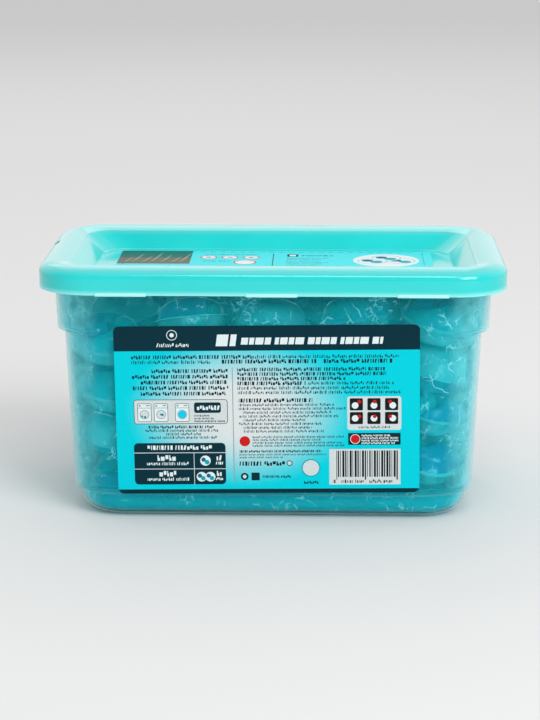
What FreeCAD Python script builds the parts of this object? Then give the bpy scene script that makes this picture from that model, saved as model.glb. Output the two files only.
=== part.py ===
"""Parametric model of a laundry pod tub: a clear tub, its snap lid, labels, film bag and pods.

Units are millimetres. The origin is the centre of the tub's base on the ground, +Z is up, +X runs
along the tub's length, and the side with the information label faces -Y.
"""
import FreeCAD, Part

import math
import os

import Sketcher
from FreeCAD import Placement, Rotation, Vector

GOLDEN = (math.sqrt(5) - 1) / 2
GRID = 1.0  # spacing of the grid on which pods are dropped
TESSELLATION = 0.3  # how closely the grid follows a pod's surface
WALL_TRIES = 12  # pushes off the walls before a pod stays where it is
LEAN_PLAY = 4.0  # how much the pods of one stack differ in lean, in degrees
TURN_PLAY = 40.0  # how much the pods of one stack differ in the direction of their lean, in degrees
SIDE_PLAY = 2.0  # how far a pod lies off the middle of its row
UPSIDE_DOWN_EVERY = 3  # one pod in so many lies on its coloured side

doc = FreeCAD.newDocument("laundry_pod_tub")

# Driving dimensions
SIZES = [
    # the tub's wall, from the ground up
    ("tub_height", 106.3, "ground to the top of the rim"),
    ("ledge_height", 79.4, "ground to the ledge where the ends step out to the collar"),
    ("step_height", 11.1, "ground to the step above the foot"),
    ("collar_length", 178.8, "outside length of the collar at the ledge"),
    ("collar_width", 97.8, "outside width of the collar at the ledge"),
    ("wall_draft", 0.04, "lean of every wall, outward per unit of height"),
    ("ledge_step", 2.9, "how far each end of the body stands in from the collar"),
    ("step_inset", 2.8, "how far the foot stands in from the body, all round"),
    ("collar_corner", 20.0, "plan radius of the collar's corners"),
    ("body_corner", 20.0, "plan radius of the body's corners"),
    ("foot_corner", 19.0, "plan radius of the foot's corners"),
    ("foot_round", 7.0, "rounding of the bottom edge"),
    ("tub_wall", 1.1, "thickness of the tub's walls and floor"),
    ("feet_height", 0.5, "how far the low feet stand out below the floor"),
    ("feet_radius", 6.0, "middle of a three-sided foot to its corners"),
    ("feet_inset", 0.5, "how far a foot's outer corner stands in from the flat underside's edge"),
    ("flange_thickness", 1.6, "thickness of the rim flange under the lid"),
    # the lid
    ("lid_wall", 1.4, "thickness of the lid"),
    ("lid_gap", 0.3, "clearance between the lid and the rim flange, all round and above"),
    ("skirt_height", 10.7, "height of the lid's skirt"),
    ("skirt_overhang", 5.9, "how far the skirt stands out from the collar at its lower edge"),
    ("lid_corner", 22.3, "plan radius of the lid's corners"),
    ("lid_edge_round", 3.0, "rounding of the lid's top edge"),
    ("lid_rim_width", 11.6, "flat rim from the lid's edge to the recess"),
    ("recess_depth", 8.4, "depth of the recess below the rim"),
    ("recess_slant", 9.0, "how far the recess wall leans in on its way down"),
    ("recess_mouth_corner", 9.0, "plan radius of the recess at the rim"),
    ("recess_floor_corner", 13.5, "plan radius of the recess floor"),
    ("mouth_round", 1.3, "rounding where the rim turns down into the recess"),
    ("tab_length", 20.8, "length of a snap tab on the skirt's lower edge"),
    ("tab_pitch", 60.8, "distance between the middles of neighbouring tabs"),
    ("tab_height", 1.7, "height of a snap tab"),
    ("tab_drop", 0.7, "how far a tab hangs below the skirt"),
    ("tab_proud", 0.35, "how far a tab stands out from the skirt"),
    ("tab_corner", 0.3, "plan radius of a tab's corners"),
    ("dip_length", 10.4, "length of a shallow dip in the far top edge"),
    ("dip_pitch", 31.0, "distance between the middles of the two dips"),
    ("dip_depth", 0.6, "depth of a dip"),
    ("dip_corner", 0.8, "plan radius of a dip's corners"),
    ("notch_length", 8.0, "length of the slot in the left rim"),
    ("notch_width", 0.9, "width of the slot in the left rim"),
    ("notch_corner", 0.4, "plan radius of the slot's ends"),
    ("notch_offset", 9.8, "distance of the slot's middle from the lid's centre line"),
    # labels
    ("label_thickness", 0.15, "thickness of a label with its glue"),
    ("label_corner", 2.4, "corner radius of the labels"),
    ("side_label_length", 124.6, "length of the labels on the two long sides"),
    ("side_label_height", 71.8, "height of the labels on the two long sides"),
    ("side_label_centre", 48.2, "height of the side labels' middle above the ground"),
    ("info_label_shift", 1.8, "how far the information label sits left of the middle"),
    ("info_label_turn", 0.75, "how far the information label is stuck askew, in degrees"),
    ("lid_label_length", 134.8, "length of the label on the lid"),
    ("lid_label_width", 60.8, "width of the label on the lid"),
    # the film bag and the pods
    ("film_thickness", 0.3, "thickness of the bag with its crumples"),
    ("film_gap", 0.3, "clearance between the bag and the tub"),
    ("bag_headroom", 1.2, "clearance between the bag and the underside of the lid"),
    ("pod_size", 31.5, "a pod's width over its film edge"),
    ("pod_corner", 14.0, "plan radius of a pod's corners"),
    ("pod_edge_width", 1.6, "width of the film edge round a pod"),
    ("pod_edge_thickness", 0.8, "thickness of the film edge"),
    ("pod_base_depth", 10.0, "depth of a pod's pale lower chamber"),
    ("pod_lobe_height", 9.2, "height of the two coloured chambers on top"),
    ("pod_lobe_gap", 1.6, "width of the seam between the two coloured chambers"),
    ("pod_gap", 0.36, "clearance round each pod"),
    ("pod_lean_least", 8.0, "least lean of a stack of pods, in degrees"),
    ("pod_lean_most", 19.0, "greatest lean of a stack of pods, in degrees"),
]

sheet = doc.addObject("Spreadsheet::Sheet", "Sizes")
for row, (alias, value, note) in enumerate(SIZES, start=1):
    sheet.set(f"A{row}", str(value))
    sheet.set(f"B{row}", note)
    sheet.setAlias(f"A{row}", alias)
doc.recompute()


def size(alias):
    """Return the plain number that a cell of the sheet holds."""
    return float(getattr(sheet, alias))


def cells(text):
    """Turn words in a formula into references to the sheet's cells."""
    names = sorted((alias for alias, _, _ in SIZES), key=len, reverse=True)
    parts, position = [], 0
    while position < len(text):
        name = next((n for n in names if text.startswith(n, position)), None)
        parts.append(f"Sizes.{name}" if name else text[position])
        position += len(name) if name else 1
    return "".join(parts)


def value_of(text):
    """Work out a formula of the sheet's names as a number."""
    return float(doc.Sizes.evalExpression(cells(text)))


# Formulas that several pieces share
LID_TOP = "(tub_height + lid_gap + lid_wall)"
SKIRT_FOOT = f"({LID_TOP} - skirt_height)"
RECESS_FLOOR = f"({LID_TOP} - recess_depth)"
BAG_TOP = f"({RECESS_FLOOR} - lid_wall - bag_headroom)"


def wall_span(region, height, inset="0"):
    """Return formulas for a wall's outside length and width at a height, drawn in by an inset."""
    end_step = {"collar": "0", "body": "ledge_step", "foot": "(ledge_step + step_inset)"}[region]
    side_step = {"collar": "0", "body": "0", "foot": "step_inset"}[region]
    lean = f"wall_draft * ({height} - ledge_height)"
    length = f"collar_length + 2 * ({lean} - {end_step} - {inset})"
    width = f"collar_width + 2 * ({lean} - {side_step} - {inset})"
    return length, width


LID_LENGTH, LID_WIDTH = (f"({span})" for span in wall_span("collar", SKIRT_FOOT, "(0 - skirt_overhang)"))


def origin_plane(body, role):
    """Return one of a body's own origin planes."""
    return next(item for item in body.Origin.OriginFeatures if item.Role == role)


def rounded_sketch(body, name, length, width, corner, height, shift_x="0", shift_y="0"):
    """Sketch a rounded rectangle level with the ground; its sizes are formulas on the sheet."""
    sketch = body.newObject("Sketcher::SketchObject", name)
    sketch.AttachmentSupport = (origin_plane(body, "XY_Plane"), "")
    sketch.MapMode = "FlatFace"
    for axis, formula in zip("xyz", (shift_x, shift_y, height)):
        sketch.setExpression(f"AttachmentOffset.Base.{axis}", cells(formula))
    radius = value_of(corner)
    half_x = value_of(length) / 2 - radius
    half_y = value_of(width) / 2 - radius
    corners = [(half_x, -half_y), (half_x, half_y), (-half_x, half_y), (-half_x, -half_y)]
    lines = [
        (Vector(-half_x, -half_y - radius), Vector(half_x, -half_y - radius)),
        (Vector(half_x + radius, -half_y), Vector(half_x + radius, half_y)),
        (Vector(half_x, half_y + radius), Vector(-half_x, half_y + radius)),
        (Vector(-half_x - radius, half_y), Vector(-half_x - radius, -half_y)),
    ]
    for turn, ((x, y), ends) in enumerate(zip(corners, lines)):
        sketch.addGeometry(Part.LineSegment(*ends))
        circle = Part.Circle(Vector(x, y), Vector(0, 0, 1), radius)
        start = (turn - 1) * math.pi / 2
        sketch.addGeometry(Part.ArcOfCircle(circle, start, start + math.pi / 2))
    start_point, end_point, centre = 1, 2, 3

    def add(*terms):
        return sketch.addConstraint(Sketcher.Constraint(*terms))

    for index in range(sketch.GeometryCount):
        add("Tangent", index, end_point, (index + 1) % sketch.GeometryCount, start_point)
    for index in (0, 4):
        add("Horizontal", index)
        add("Vertical", index + 2)
    for index in (1, 3, 5):
        add("Equal", index, index + 2)
    add("Symmetric", 1, centre, 5, centre, -1, 1)
    for key, terms, formula in (
        ("corner", ("Radius", 1, radius), corner),
        ("length", ("DistanceX", 7, centre, 1, centre, 2 * half_x), f"({length}) - 2 * ({corner})"),
        ("width", ("DistanceY", 1, centre, 3, centre, 2 * half_y), f"({width}) - 2 * ({corner})"),
    ):
        sketch.renameConstraint(add(*terms), key)
        sketch.setExpression(f"Constraints.{key}", cells(formula))
    return sketch


def new_body(name):
    """Add a body whose label is the piece's name."""
    body = doc.addObject("PartDesign::Body", name)
    body.Label = name
    return body


def loft(body, kind, name, lower, upper):
    """Loft between two level sketches of a body; kind is Additive or Subtractive."""
    feature = body.newObject(f"PartDesign::{kind}Loft", name)
    feature.Profile = lower
    feature.Sections = [upper]
    feature.Ruled = True
    lower.Visibility = upper.Visibility = False
    doc.recompute()
    return feature


def wall_loft(body, kind, name, region, bottom, top, inset, corner):
    """Loft one region of the tub's wall between two heights, drawn in by an inset."""
    sketches = [
        rounded_sketch(body, f"{name}_{end}", *wall_span(region, height, inset), corner, height)
        for end, height in (("low", bottom), ("high", top))
    ]
    return loft(body, kind, name, *sketches)


def pad(body, name, sketch, depth, kind="Pad", reverse=False):
    """Pad or pocket a sketch by a formula of the sheet."""
    feature = body.newObject(f"PartDesign::{kind}", name)
    feature.Profile = sketch
    feature.setExpression("Length", cells(depth))
    feature.Reversed = reverse
    sketch.Visibility = False
    doc.recompute()
    return feature


def level_edges(feature, height, inside=None):
    """Name the edges of a feature that lie level at a height, and within a plan box if given."""
    names = []
    for index, edge in enumerate(feature.Shape.Edges, start=1):
        box = edge.BoundBox
        if abs(box.ZMin - height) > 1e-3 or abs(box.ZMax - height) > 1e-3:
            continue
        if inside and not (inside[0] < max(abs(box.XMin), abs(box.XMax)) < inside[1]):
            continue
        names.append(f"Edge{index}")
    return names


def fillet(body, name, feature, edges, radius):
    """Round the named edges of a body's last feature by a formula of the sheet."""
    rounded = body.newObject("PartDesign::Fillet", name)
    rounded.Base = (feature, edges)
    rounded.setExpression("Radius", cells(radius))
    doc.recompute()
    return rounded


def wall_form(name, inset, regions, top):
    """A closed form from the tub's floor to a height: the tub's outline drawn in by an inset."""
    body = new_body(name)
    floor = f"(feet_height + {inset})"
    outline = rounded_sketch(body, f"{name}_foot_outline", *wall_span("foot", "step_height", inset),
                             f"(foot_corner - {inset})", floor)
    foot = pad(body, f"{name}_foot", outline, "step_height - feet_height")
    fillet(body, f"{name}_foot_round", foot, level_edges(foot, value_of(floor)), f"foot_round - {inset}")
    levels = {"body": "step_height", "collar": "ledge_height"}
    for number, region in enumerate(regions):
        last = number == len(regions) - 1
        high = top if last else f"{levels[regions[number + 1]]} + {inset}"
        wall_loft(body, "Additive", f"{name}_{region}", region, f"{levels[region]} + {inset}", high,
                  inset, f"({region}_corner - {inset})")
    return body


def hollow(name, outer, inner):
    """Cut an inner form out of an outer one and name what is left."""
    cut = doc.addObject("Part::Cut", name)
    cut.Base, cut.Tool = outer, inner
    cut.Label = name
    doc.recompute()
    return cut


def add_feet(body):
    """Four low three-sided feet under the floor, each pointing at a corner of the tub."""
    edge = "(foot_round + (foot_corner - foot_round) * (1 - sqrt(0.5)) + feet_inset)"
    across, along = (f"(({span}) / 2 - {edge} - feet_radius * sqrt(0.5))"
                     for span in wall_span("foot", "step_height"))
    for number, (x, y) in enumerate(((1, 1), (-1, 1), (-1, -1), (1, -1))):
        foot = body.newObject("PartDesign::AdditivePrism", f"{body.Name}_low_foot_{number + 1}")
        foot.AttachmentSupport = (origin_plane(body, "XY_Plane"), "")
        foot.MapMode = "FlatFace"
        foot.Polygon = 3
        foot.AttachmentOffset = Placement(Vector(), Rotation(Vector(0, 0, 1), 45 + 90 * number))
        for side, formula in (("Circumradius", "feet_radius"), ("Height", "feet_height + tub_wall / 2"),
                              ("AttachmentOffset.Base.x", f"({x}) * {across}"),
                              ("AttachmentOffset.Base.y", f"({y}) * {along}")):
            foot.setExpression(side, cells(formula))
        doc.recompute()


def build_tub():
    """The clear tub: a rounded foot, a leaning body, a collar that steps out at the ends, a flange."""
    outer = wall_form("tub_outside", "0", ("body", "collar"), "tub_height")
    add_feet(outer)
    flange_outline = rounded_sketch(
        outer, "tub_flange_outline", f"{LID_LENGTH} - 2 * (lid_wall + lid_gap)",
        f"{LID_WIDTH} - 2 * (lid_wall + lid_gap)", "lid_corner - lid_wall - lid_gap",
        "tub_height - flange_thickness")
    pad(outer, "tub_flange", flange_outline, "flange_thickness")
    inner = wall_form("tub_inside", "tub_wall", ("body", "collar"), "tub_height + tub_wall")
    return hollow("tub", outer, inner)


def build_lid():
    """The lid: a skirt with snap tabs, a flat rim, and a deep recess with slanted walls."""
    body = new_body("lid")
    outline = rounded_sketch(body, "lid_outline", LID_LENGTH, LID_WIDTH, "lid_corner", SKIRT_FOOT)
    block = pad(body, "lid_block", outline, "skirt_height")
    fillet(body, "lid_edge", block, level_edges(block, value_of(LID_TOP)), "lid_edge_round")
    cavity = rounded_sketch(body, "lid_cavity_outline", f"{LID_LENGTH} - 2 * lid_wall",
                            f"{LID_WIDTH} - 2 * lid_wall", "lid_corner - lid_wall", SKIRT_FOOT)
    pad(body, "lid_cavity", cavity, "skirt_height - lid_wall", "Pocket", reverse=True)
    shell_low = rounded_sketch(
        body, "recess_under_low", f"{LID_LENGTH} - 2 * (lid_rim_width + recess_slant - lid_wall)",
        f"{LID_WIDTH} - 2 * (lid_rim_width + recess_slant - lid_wall)", "recess_floor_corner + lid_wall",
        f"{RECESS_FLOOR} - lid_wall")
    shell_high = rounded_sketch(
        body, "recess_under_high", f"{LID_LENGTH} - 2 * (lid_rim_width - lid_wall)",
        f"{LID_WIDTH} - 2 * (lid_rim_width - lid_wall)", "recess_mouth_corner + lid_wall",
        f"{LID_TOP} - lid_wall")
    loft(body, "Additive", "recess_shell", shell_low, shell_high)
    floor = rounded_sketch(body, "recess_floor", f"{LID_LENGTH} - 2 * (lid_rim_width + recess_slant)",
                           f"{LID_WIDTH} - 2 * (lid_rim_width + recess_slant)",
                           "recess_floor_corner", RECESS_FLOOR)
    mouth = rounded_sketch(body, "recess_mouth", f"{LID_LENGTH} - 2 * lid_rim_width",
                           f"{LID_WIDTH} - 2 * lid_rim_width", "recess_mouth_corner", LID_TOP)
    recess = loft(body, "Subtractive", "recess", floor, mouth)
    inner_edges = level_edges(recess, value_of(LID_TOP),
                              (0, value_of(f"{LID_LENGTH} / 2 - lid_rim_width") + 0.1))
    fillet(body, "recess_edge", recess, inner_edges, "mouth_round")
    for side, sign in (("near", "-"), ("far", "")):
        for number, place in enumerate(("0 - tab_pitch", "0", "tab_pitch"), start=1):
            tab = rounded_sketch(
                body, f"tab_{side}_{number}_outline", "tab_length", "lid_wall + tab_proud", "tab_corner",
                f"{SKIRT_FOOT} - tab_drop", place,
                f"{sign or '0 +'} ({LID_WIDTH} / 2 - (lid_wall - tab_proud) / 2)")
            pad(body, f"tab_{side}_{number}", tab, "tab_height")
    for number, place in enumerate(("0 - dip_pitch / 2", "dip_pitch / 2"), start=1):
        dip = rounded_sketch(body, f"dip_{number}_outline", "dip_length", "2 * lid_edge_round", "dip_corner",
                             LID_TOP, place, f"{LID_WIDTH} / 2")
        pad(body, f"dip_{number}", dip, "dip_depth", "Pocket")
    notch = rounded_sketch(body, "notch_outline", "notch_width", "notch_length", "notch_corner", LID_TOP,
                           f"0 - ({LID_LENGTH} / 2 - lid_edge_round / 2)", "notch_offset")
    pad(body, "notch", notch, "lid_edge_round / 2", "Pocket")
    return body


def build_label(name, length, width):
    """A label lying flat at the origin, a thin sheet with rounded corners."""
    body = new_body(name)
    pad(body, f"{name}_sheet", rounded_sketch(body, f"{name}_outline", length, width, "label_corner", "0"),
        "label_thickness")
    return body


def place_side_label(label, side, across, turn):
    """Stand a label on a long wall: side is -1 for the near wall and 1 for the far one."""
    lean = math.degrees(math.atan(size("wall_draft")))
    face = value_of(wall_span("body", "side_label_centre")[1]) / 2
    facing = Rotation(Vector(0, 0, 1), 0 if side < 0 else 180)
    label.Placement = Placement(Vector(across, side * face, size("side_label_centre")),
                                facing * Rotation(Vector(1, 0, 0), 90 + lean)
                                * Rotation(Vector(0, 0, 1), turn))


def build_labels():
    """The three labels: the information label, the plain one opposite, and the one on the lid."""
    info = build_label("label_info", "side_label_length", "side_label_height")
    place_side_label(info, -1, -size("info_label_shift"), size("info_label_turn"))
    front = build_label("label_front", "side_label_length", "side_label_height")
    place_side_label(front, 1, 0, 0)
    top = build_label("label_lid", "lid_label_length", "lid_label_width")
    top.setExpression("Placement.Base.z", cells(RECESS_FLOOR))
    return [info, front, top]


def build_bag():
    """The thin film bag that lines the tub and closes over the pods."""
    clear = "(tub_wall + film_gap)"
    inner = "(tub_wall + film_gap + film_thickness)"
    outside = wall_form("bag_outside", clear, ("body",), BAG_TOP)
    inside = wall_form("bag_inside", inner, ("body",), f"{BAG_TOP} - film_thickness")
    return hollow("inner_bag", outside, inside)


def rounded_wire(width, corner, height):
    """A level rounded square as one wire, for the pods' soft shapes."""
    radius = min(corner, width / 2 - 0.01)
    half = width / 2 - radius
    edges = []
    for turn in range(4):
        spin = Rotation(Vector(0, 0, 1), 90 * turn)
        place = lambda x, y: spin.multVec(Vector(x, y, 0)) + Vector(0, 0, height)
        bend = radius * (1 - math.sqrt(0.5))
        edges.append(Part.LineSegment(place(-half, -half - radius), place(half, -half - radius)).toShape())
        edges.append(Part.Arc(place(half, -half - radius), place(half + radius - bend, -half - radius + bend),
                              place(half + radius, -half)).toShape())
    return Part.Wire(edges)


def dome(width, corner, height):
    """A soft pillow on a rounded square base at z = 0, rising to a height or falling if negative."""
    levels = ((1.0, 0.0), (0.95, 0.38), (0.8, 0.72), (0.55, 0.93), (0.25, 1.0))
    wires = [rounded_wire(width * share, corner * share, height * rise) for share, rise in levels]
    return Part.makeLoft(wires, True, True)


def pod_shape():
    """One pod: a pale pillow below, a thin film edge, and two coloured chambers curled together."""
    width = size("pod_size") - 2 * size("pod_edge_width")
    corner = size("pod_corner") - size("pod_edge_width")
    half_edge = size("pod_edge_thickness") / 2
    edge = Part.Face(rounded_wire(size("pod_size"), size("pod_corner"), -half_edge))
    edge = edge.extrude(Vector(0, 0, 2 * half_edge))
    lower = dome(width, corner, -size("pod_base_depth"))
    upper = dome(width, corner, size("pod_lobe_height"))
    gap, reach = size("pod_lobe_gap") / 2, width / 2
    seam = []
    for centre, start in ((-reach / 2, 180), (reach / 2, 0)):
        ring = Part.Face([
            Part.Wire(Part.makeCircle(reach / 2 + gap, Vector(centre, 0, half_edge), Vector(0, 0, 1),
                                      start, start + 180).Edges
                      + Part.makeCircle(reach / 2 - gap, Vector(centre, 0, half_edge), Vector(0, 0, 1),
                                        start, start + 180).Edges
                      + [Part.makeLine((centre + s * (reach / 2 - gap), 0, half_edge),
                                       (centre + s * (reach / 2 + gap), 0, half_edge)) for s in (-1, 1)])])
        seam.append(ring.extrude(Vector(0, 0, size("pod_lobe_height"))))
    upper = upper.cut(seam)
    return edge.fuse([lower, upper]).removeSplitter()


class PodRelief:
    """The upper and lower surface of a leaning pod, swollen by its clearance, on a square grid."""

    def __init__(self, points, facets, turn):
        self.turn = turn
        self.points = [turn.multVec(point) for point in points]
        self.low, self.high = {}, {}
        for facet in facets:
            self._add_facet(*(self.points[index] for index in facet))

    def _add_facet(self, a, b, c):
        """Record the facet's height at every grid line crossing that lies under it."""
        area = (b.x - a.x) * (c.y - a.y) - (c.x - a.x) * (b.y - a.y)
        if abs(area) < 1e-9:
            return
        for i in range(math.ceil(min(a.x, b.x, c.x) / GRID), math.floor(max(a.x, b.x, c.x) / GRID) + 1):
            for j in range(math.ceil(min(a.y, b.y, c.y) / GRID), math.floor(max(a.y, b.y, c.y) / GRID) + 1):
                x, y = i * GRID, j * GRID
                to_b = ((x - a.x) * (c.y - a.y) - (c.x - a.x) * (y - a.y)) / area
                to_c = ((b.x - a.x) * (y - a.y) - (x - a.x) * (b.y - a.y)) / area
                if to_b >= 0 and to_c >= 0 and to_b + to_c <= 1:
                    z = a.z + to_b * (b.z - a.z) + to_c * (c.z - a.z)
                    self.low[i, j] = min(z, self.low.get((i, j), z))
                    self.high[i, j] = max(z, self.high.get((i, j), z))

    def rest_height(self, pile, i, j, floor):
        """The lowest height of the pod's middle at which it clears the pile below it."""
        return max(pile.get((i + di, j + dj), floor) - z for (di, dj), z in self.low.items())

    def wall_push(self, x, y, z, room):
        """How far the pod reaches past the bag's walls, as a push back inside along X and Y."""
        push_x = push_y = 0.0
        for point in self.points:
            half_x, half_y, corner = room(z + point.z)
            over_x, over_y = abs(x + point.x) - half_x, abs(y + point.y) - half_y
            if over_x > -corner and over_y > -corner:
                past = math.hypot(over_x + corner, over_y + corner) - corner
                over_x = over_y = past * math.sqrt(0.5)
            if over_x > abs(push_x):
                push_x = -math.copysign(over_x, x + point.x)
            if over_y > abs(push_y):
                push_y = -math.copysign(over_y, y + point.y)
        return push_x, push_y


def bag_room(z):
    """Half the length and width inside the bag at a height, and the plan radius of its corners."""
    inset = size("tub_wall") + size("film_gap") + size("film_thickness")
    lean = size("wall_draft") * (max(z, size("step_height")) - size("ledge_height"))
    half_x = size("collar_length") / 2 - size("ledge_step") + lean - inset
    half_y = size("collar_width") / 2 + lean - inset
    corner = size("body_corner") - inset
    if z < size("step_height") + inset:
        half_x, half_y = half_x - size("step_inset"), half_y - size("step_inset")
        corner = size("foot_corner") - inset
    radius = size("foot_round") - inset
    above = max(z - size("feet_height") - inset, 0)
    if above < radius:
        rounding = radius - math.sqrt(radius ** 2 - (radius - above) ** 2)
        half_x, half_y, corner = half_x - rounding, half_y - rounding, corner - rounding
    return half_x, half_y, max(corner, 0)


def fraction(number, step):
    """A number between 0 and 1 that wanders evenly as its count goes up."""
    return (number * step) % 1


def seat_pods(shape):
    """Drop pods into the bag, layer on layer in leaning stacks, while a layer still fits."""
    swell = 1 + 2 * size("pod_gap") / size("pod_size")
    rise = 1 + size("pod_gap") / (size("pod_base_depth") + size("pod_lobe_height"))
    corners, facets = shape.copy().tessellate(TESSELLATION)
    points = [Vector(p.x * swell, p.y * swell, p.z * rise) for p in corners]
    floor = size("feet_height") + size("tub_wall") + size("film_gap") + size("film_thickness")
    ceiling = value_of(f"{BAG_TOP} - film_thickness")
    reach = size("pod_size") / 2
    columns = int(2 * bag_room(floor + size("pod_base_depth"))[0] // size("pod_size"))
    rows = int(2 * bag_room(floor + size("pod_base_depth"))[1] // size("pod_size"))
    pile, places, layer = {}, [], 0
    while True:
        seated = []
        for stack in range(columns * rows):
            column, row = stack // rows, stack % rows
            number = layer * columns * rows + stack
            lean = size("pod_lean_least") + (size("pod_lean_most") - size("pod_lean_least")) * fraction(
                stack + 1, GOLDEN) + LEAN_PLAY * (fraction(number, GOLDEN) - 0.5)
            towards = 360 * fraction(stack, 1 - GOLDEN ** 3) + TURN_PLAY * fraction(number, GOLDEN ** 2)
            over = 180 * (number % UPSIDE_DOWN_EVERY == 1)
            turn = (Rotation(Vector(math.cos(math.radians(towards)), math.sin(math.radians(towards)), 0), lean)
                    * Rotation(Vector(1, 0, 0), over) * Rotation(Vector(0, 0, 1), 360 * fraction(number, GOLDEN)))
            relief = PodRelief(points, facets, turn)
            half_x, half_y, _ = bag_room(floor + size("pod_base_depth") * (2 * layer + 1))
            x = (half_x - reach) * (2 * column / max(columns - 1, 1) - 1)
            y = (half_y - reach) * (2 * row / max(rows - 1, 1) - 1)
            y += SIDE_PLAY * (2 * fraction(number, GOLDEN ** 2) - 1 - math.copysign(1, y))
            for _ in range(WALL_TRIES):
                i, j = round(x / GRID), round(y / GRID)
                z = relief.rest_height(pile, i, j, floor)
                push_x, push_y = relief.wall_push(i * GRID, j * GRID, z, bag_room)
                if push_x == 0 and push_y == 0:
                    break
                x = i * GRID + math.copysign(math.ceil(abs(push_x) / GRID) * GRID, push_x) * (push_x != 0)
                y = j * GRID + math.copysign(math.ceil(abs(push_y) / GRID) * GRID, push_y) * (push_y != 0)
            for (di, dj), high in relief.high.items():
                pile[i + di, j + dj] = z + high
            top = z + max(point.z for point in relief.points)
            seated.append((Placement(Vector(i * GRID, j * GRID, z), turn), top))
        if max(top for _, top in seated) > ceiling:
            return places
        places += [place for place, _ in seated]
        layer += 1


def build_pods():
    """The pods, each a copy of one shape seated in the bag."""
    shape = pod_shape()
    pods = []
    for number, place in enumerate(seat_pods(shape), start=1):
        pod = doc.addObject("Part::Feature", f"pod_{number:02d}")
        pod.Shape = shape
        pod.Placement = place
        pod.Label = pod.Name
        pods.append(pod)
    return pods


def save_parts(objects):
    """Check every object of the document, then write each piece to its own file."""
    doc.recompute()
    bad = [item.Name for item in doc.Objects if {"Invalid", "Error"} & set(item.State)]
    if bad:
        raise RuntimeError(f"objects that failed: {bad}")
    for item in objects:
        if item.Shape.isNull() or not item.Shape.isValid():
            raise RuntimeError(f"{item.Label} has no valid shape")
    os.makedirs("parts", exist_ok=True)
    for item in objects:
        item.Shape.exportStep(f"parts/{item.Label}.step")
        print(item.Label, len(item.Shape.Solids), round(item.Shape.Volume))


save_parts([build_tub(), build_lid(), *build_labels(), build_bag(), *build_pods()])
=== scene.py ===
"""Scene of a laundry pod tub: a clear tub, its turquoise snap lid, printed labels, film bag and pods.

Sizes are named in millimetres and turned into metres where a mesh is made. Every piece stands in
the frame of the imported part: +Z up, +X along the tub, and the information label faces -Y.
"""
import logging
import math
from collections.abc import Iterable, Sequence
from dataclasses import dataclass, field
from enum import Enum

import bmesh
import bpy
from mathutils import Matrix, Vector, noise
from mathutils.bvhtree import BVHTree
from mathutils.geometry import delaunay_2d_cdt


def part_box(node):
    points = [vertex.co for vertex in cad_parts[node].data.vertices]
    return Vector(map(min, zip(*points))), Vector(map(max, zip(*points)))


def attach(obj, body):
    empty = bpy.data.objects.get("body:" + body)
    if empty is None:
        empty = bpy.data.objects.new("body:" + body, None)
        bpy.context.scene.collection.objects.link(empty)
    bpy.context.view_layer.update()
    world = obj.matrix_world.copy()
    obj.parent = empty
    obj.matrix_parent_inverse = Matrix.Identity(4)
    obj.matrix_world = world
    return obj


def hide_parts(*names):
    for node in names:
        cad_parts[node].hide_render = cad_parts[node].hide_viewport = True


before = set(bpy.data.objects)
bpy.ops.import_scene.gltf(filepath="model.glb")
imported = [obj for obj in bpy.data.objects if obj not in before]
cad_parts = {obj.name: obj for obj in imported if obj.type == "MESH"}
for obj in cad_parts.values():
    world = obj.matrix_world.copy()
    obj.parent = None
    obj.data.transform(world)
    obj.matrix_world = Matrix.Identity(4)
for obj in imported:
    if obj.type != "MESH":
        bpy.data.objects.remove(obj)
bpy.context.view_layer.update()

MM = 0.001
GOLDEN = (math.sqrt(5) - 1) / 2
SHARP_ANGLE = 40.0
ROUNDED_ANGLE = 32.0
ROUNDING_SEGMENTS = 3
ARC_STEPS = 8
LEAST_CORNER = 0.3
CUT_TOLERANCE = 1e-5
log = logging.getLogger("pod_tub")

Point = tuple[float, float]


class Body(Enum):
    """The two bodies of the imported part."""

    TUB = "tub"
    LID = "lid"


def linear(colour: str) -> tuple[float, float, float, float]:
    """Turn an sRGB hex colour into linear light.

    Args:
        colour: Six hex digits after a hash.

    Returns:
        Red, green, blue and a full alpha.
    """
    shares = [int(colour[i:i + 2], 16) / 255 for i in (1, 3, 5)]
    return (*(s / 12.92 if s <= 0.04045 else ((s + 0.055) / 1.055) ** 2.4 for s in shares), 1.0)


def add_node(tree: bpy.types.NodeTree, kind: str, inputs: dict | None = None, **settings) -> bpy.types.Node:
    """Add a node with its settings and links.

    Args:
        tree: The node tree that gets the node.
        kind: The node's type name.
        inputs: Input names or numbers, each with a value or with the socket that feeds it.
        **settings: Properties of the node.

    Returns:
        The new node.
    """
    node = tree.nodes.new(kind)
    for name, value in settings.items():
        setattr(node, name, value)
    for name, value in (inputs or {}).items():
        if isinstance(value, bpy.types.NodeSocket):
            tree.links.new(value, node.inputs[name])
        else:
            node.inputs[name].default_value = value
    return node


def new_material(name: str) -> tuple[bpy.types.Material, bpy.types.NodeTree]:
    """Return an empty material and its node tree."""
    made = bpy.data.materials.new(name)
    made.use_nodes = True
    made.node_tree.nodes.clear()
    return made, made.node_tree


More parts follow.
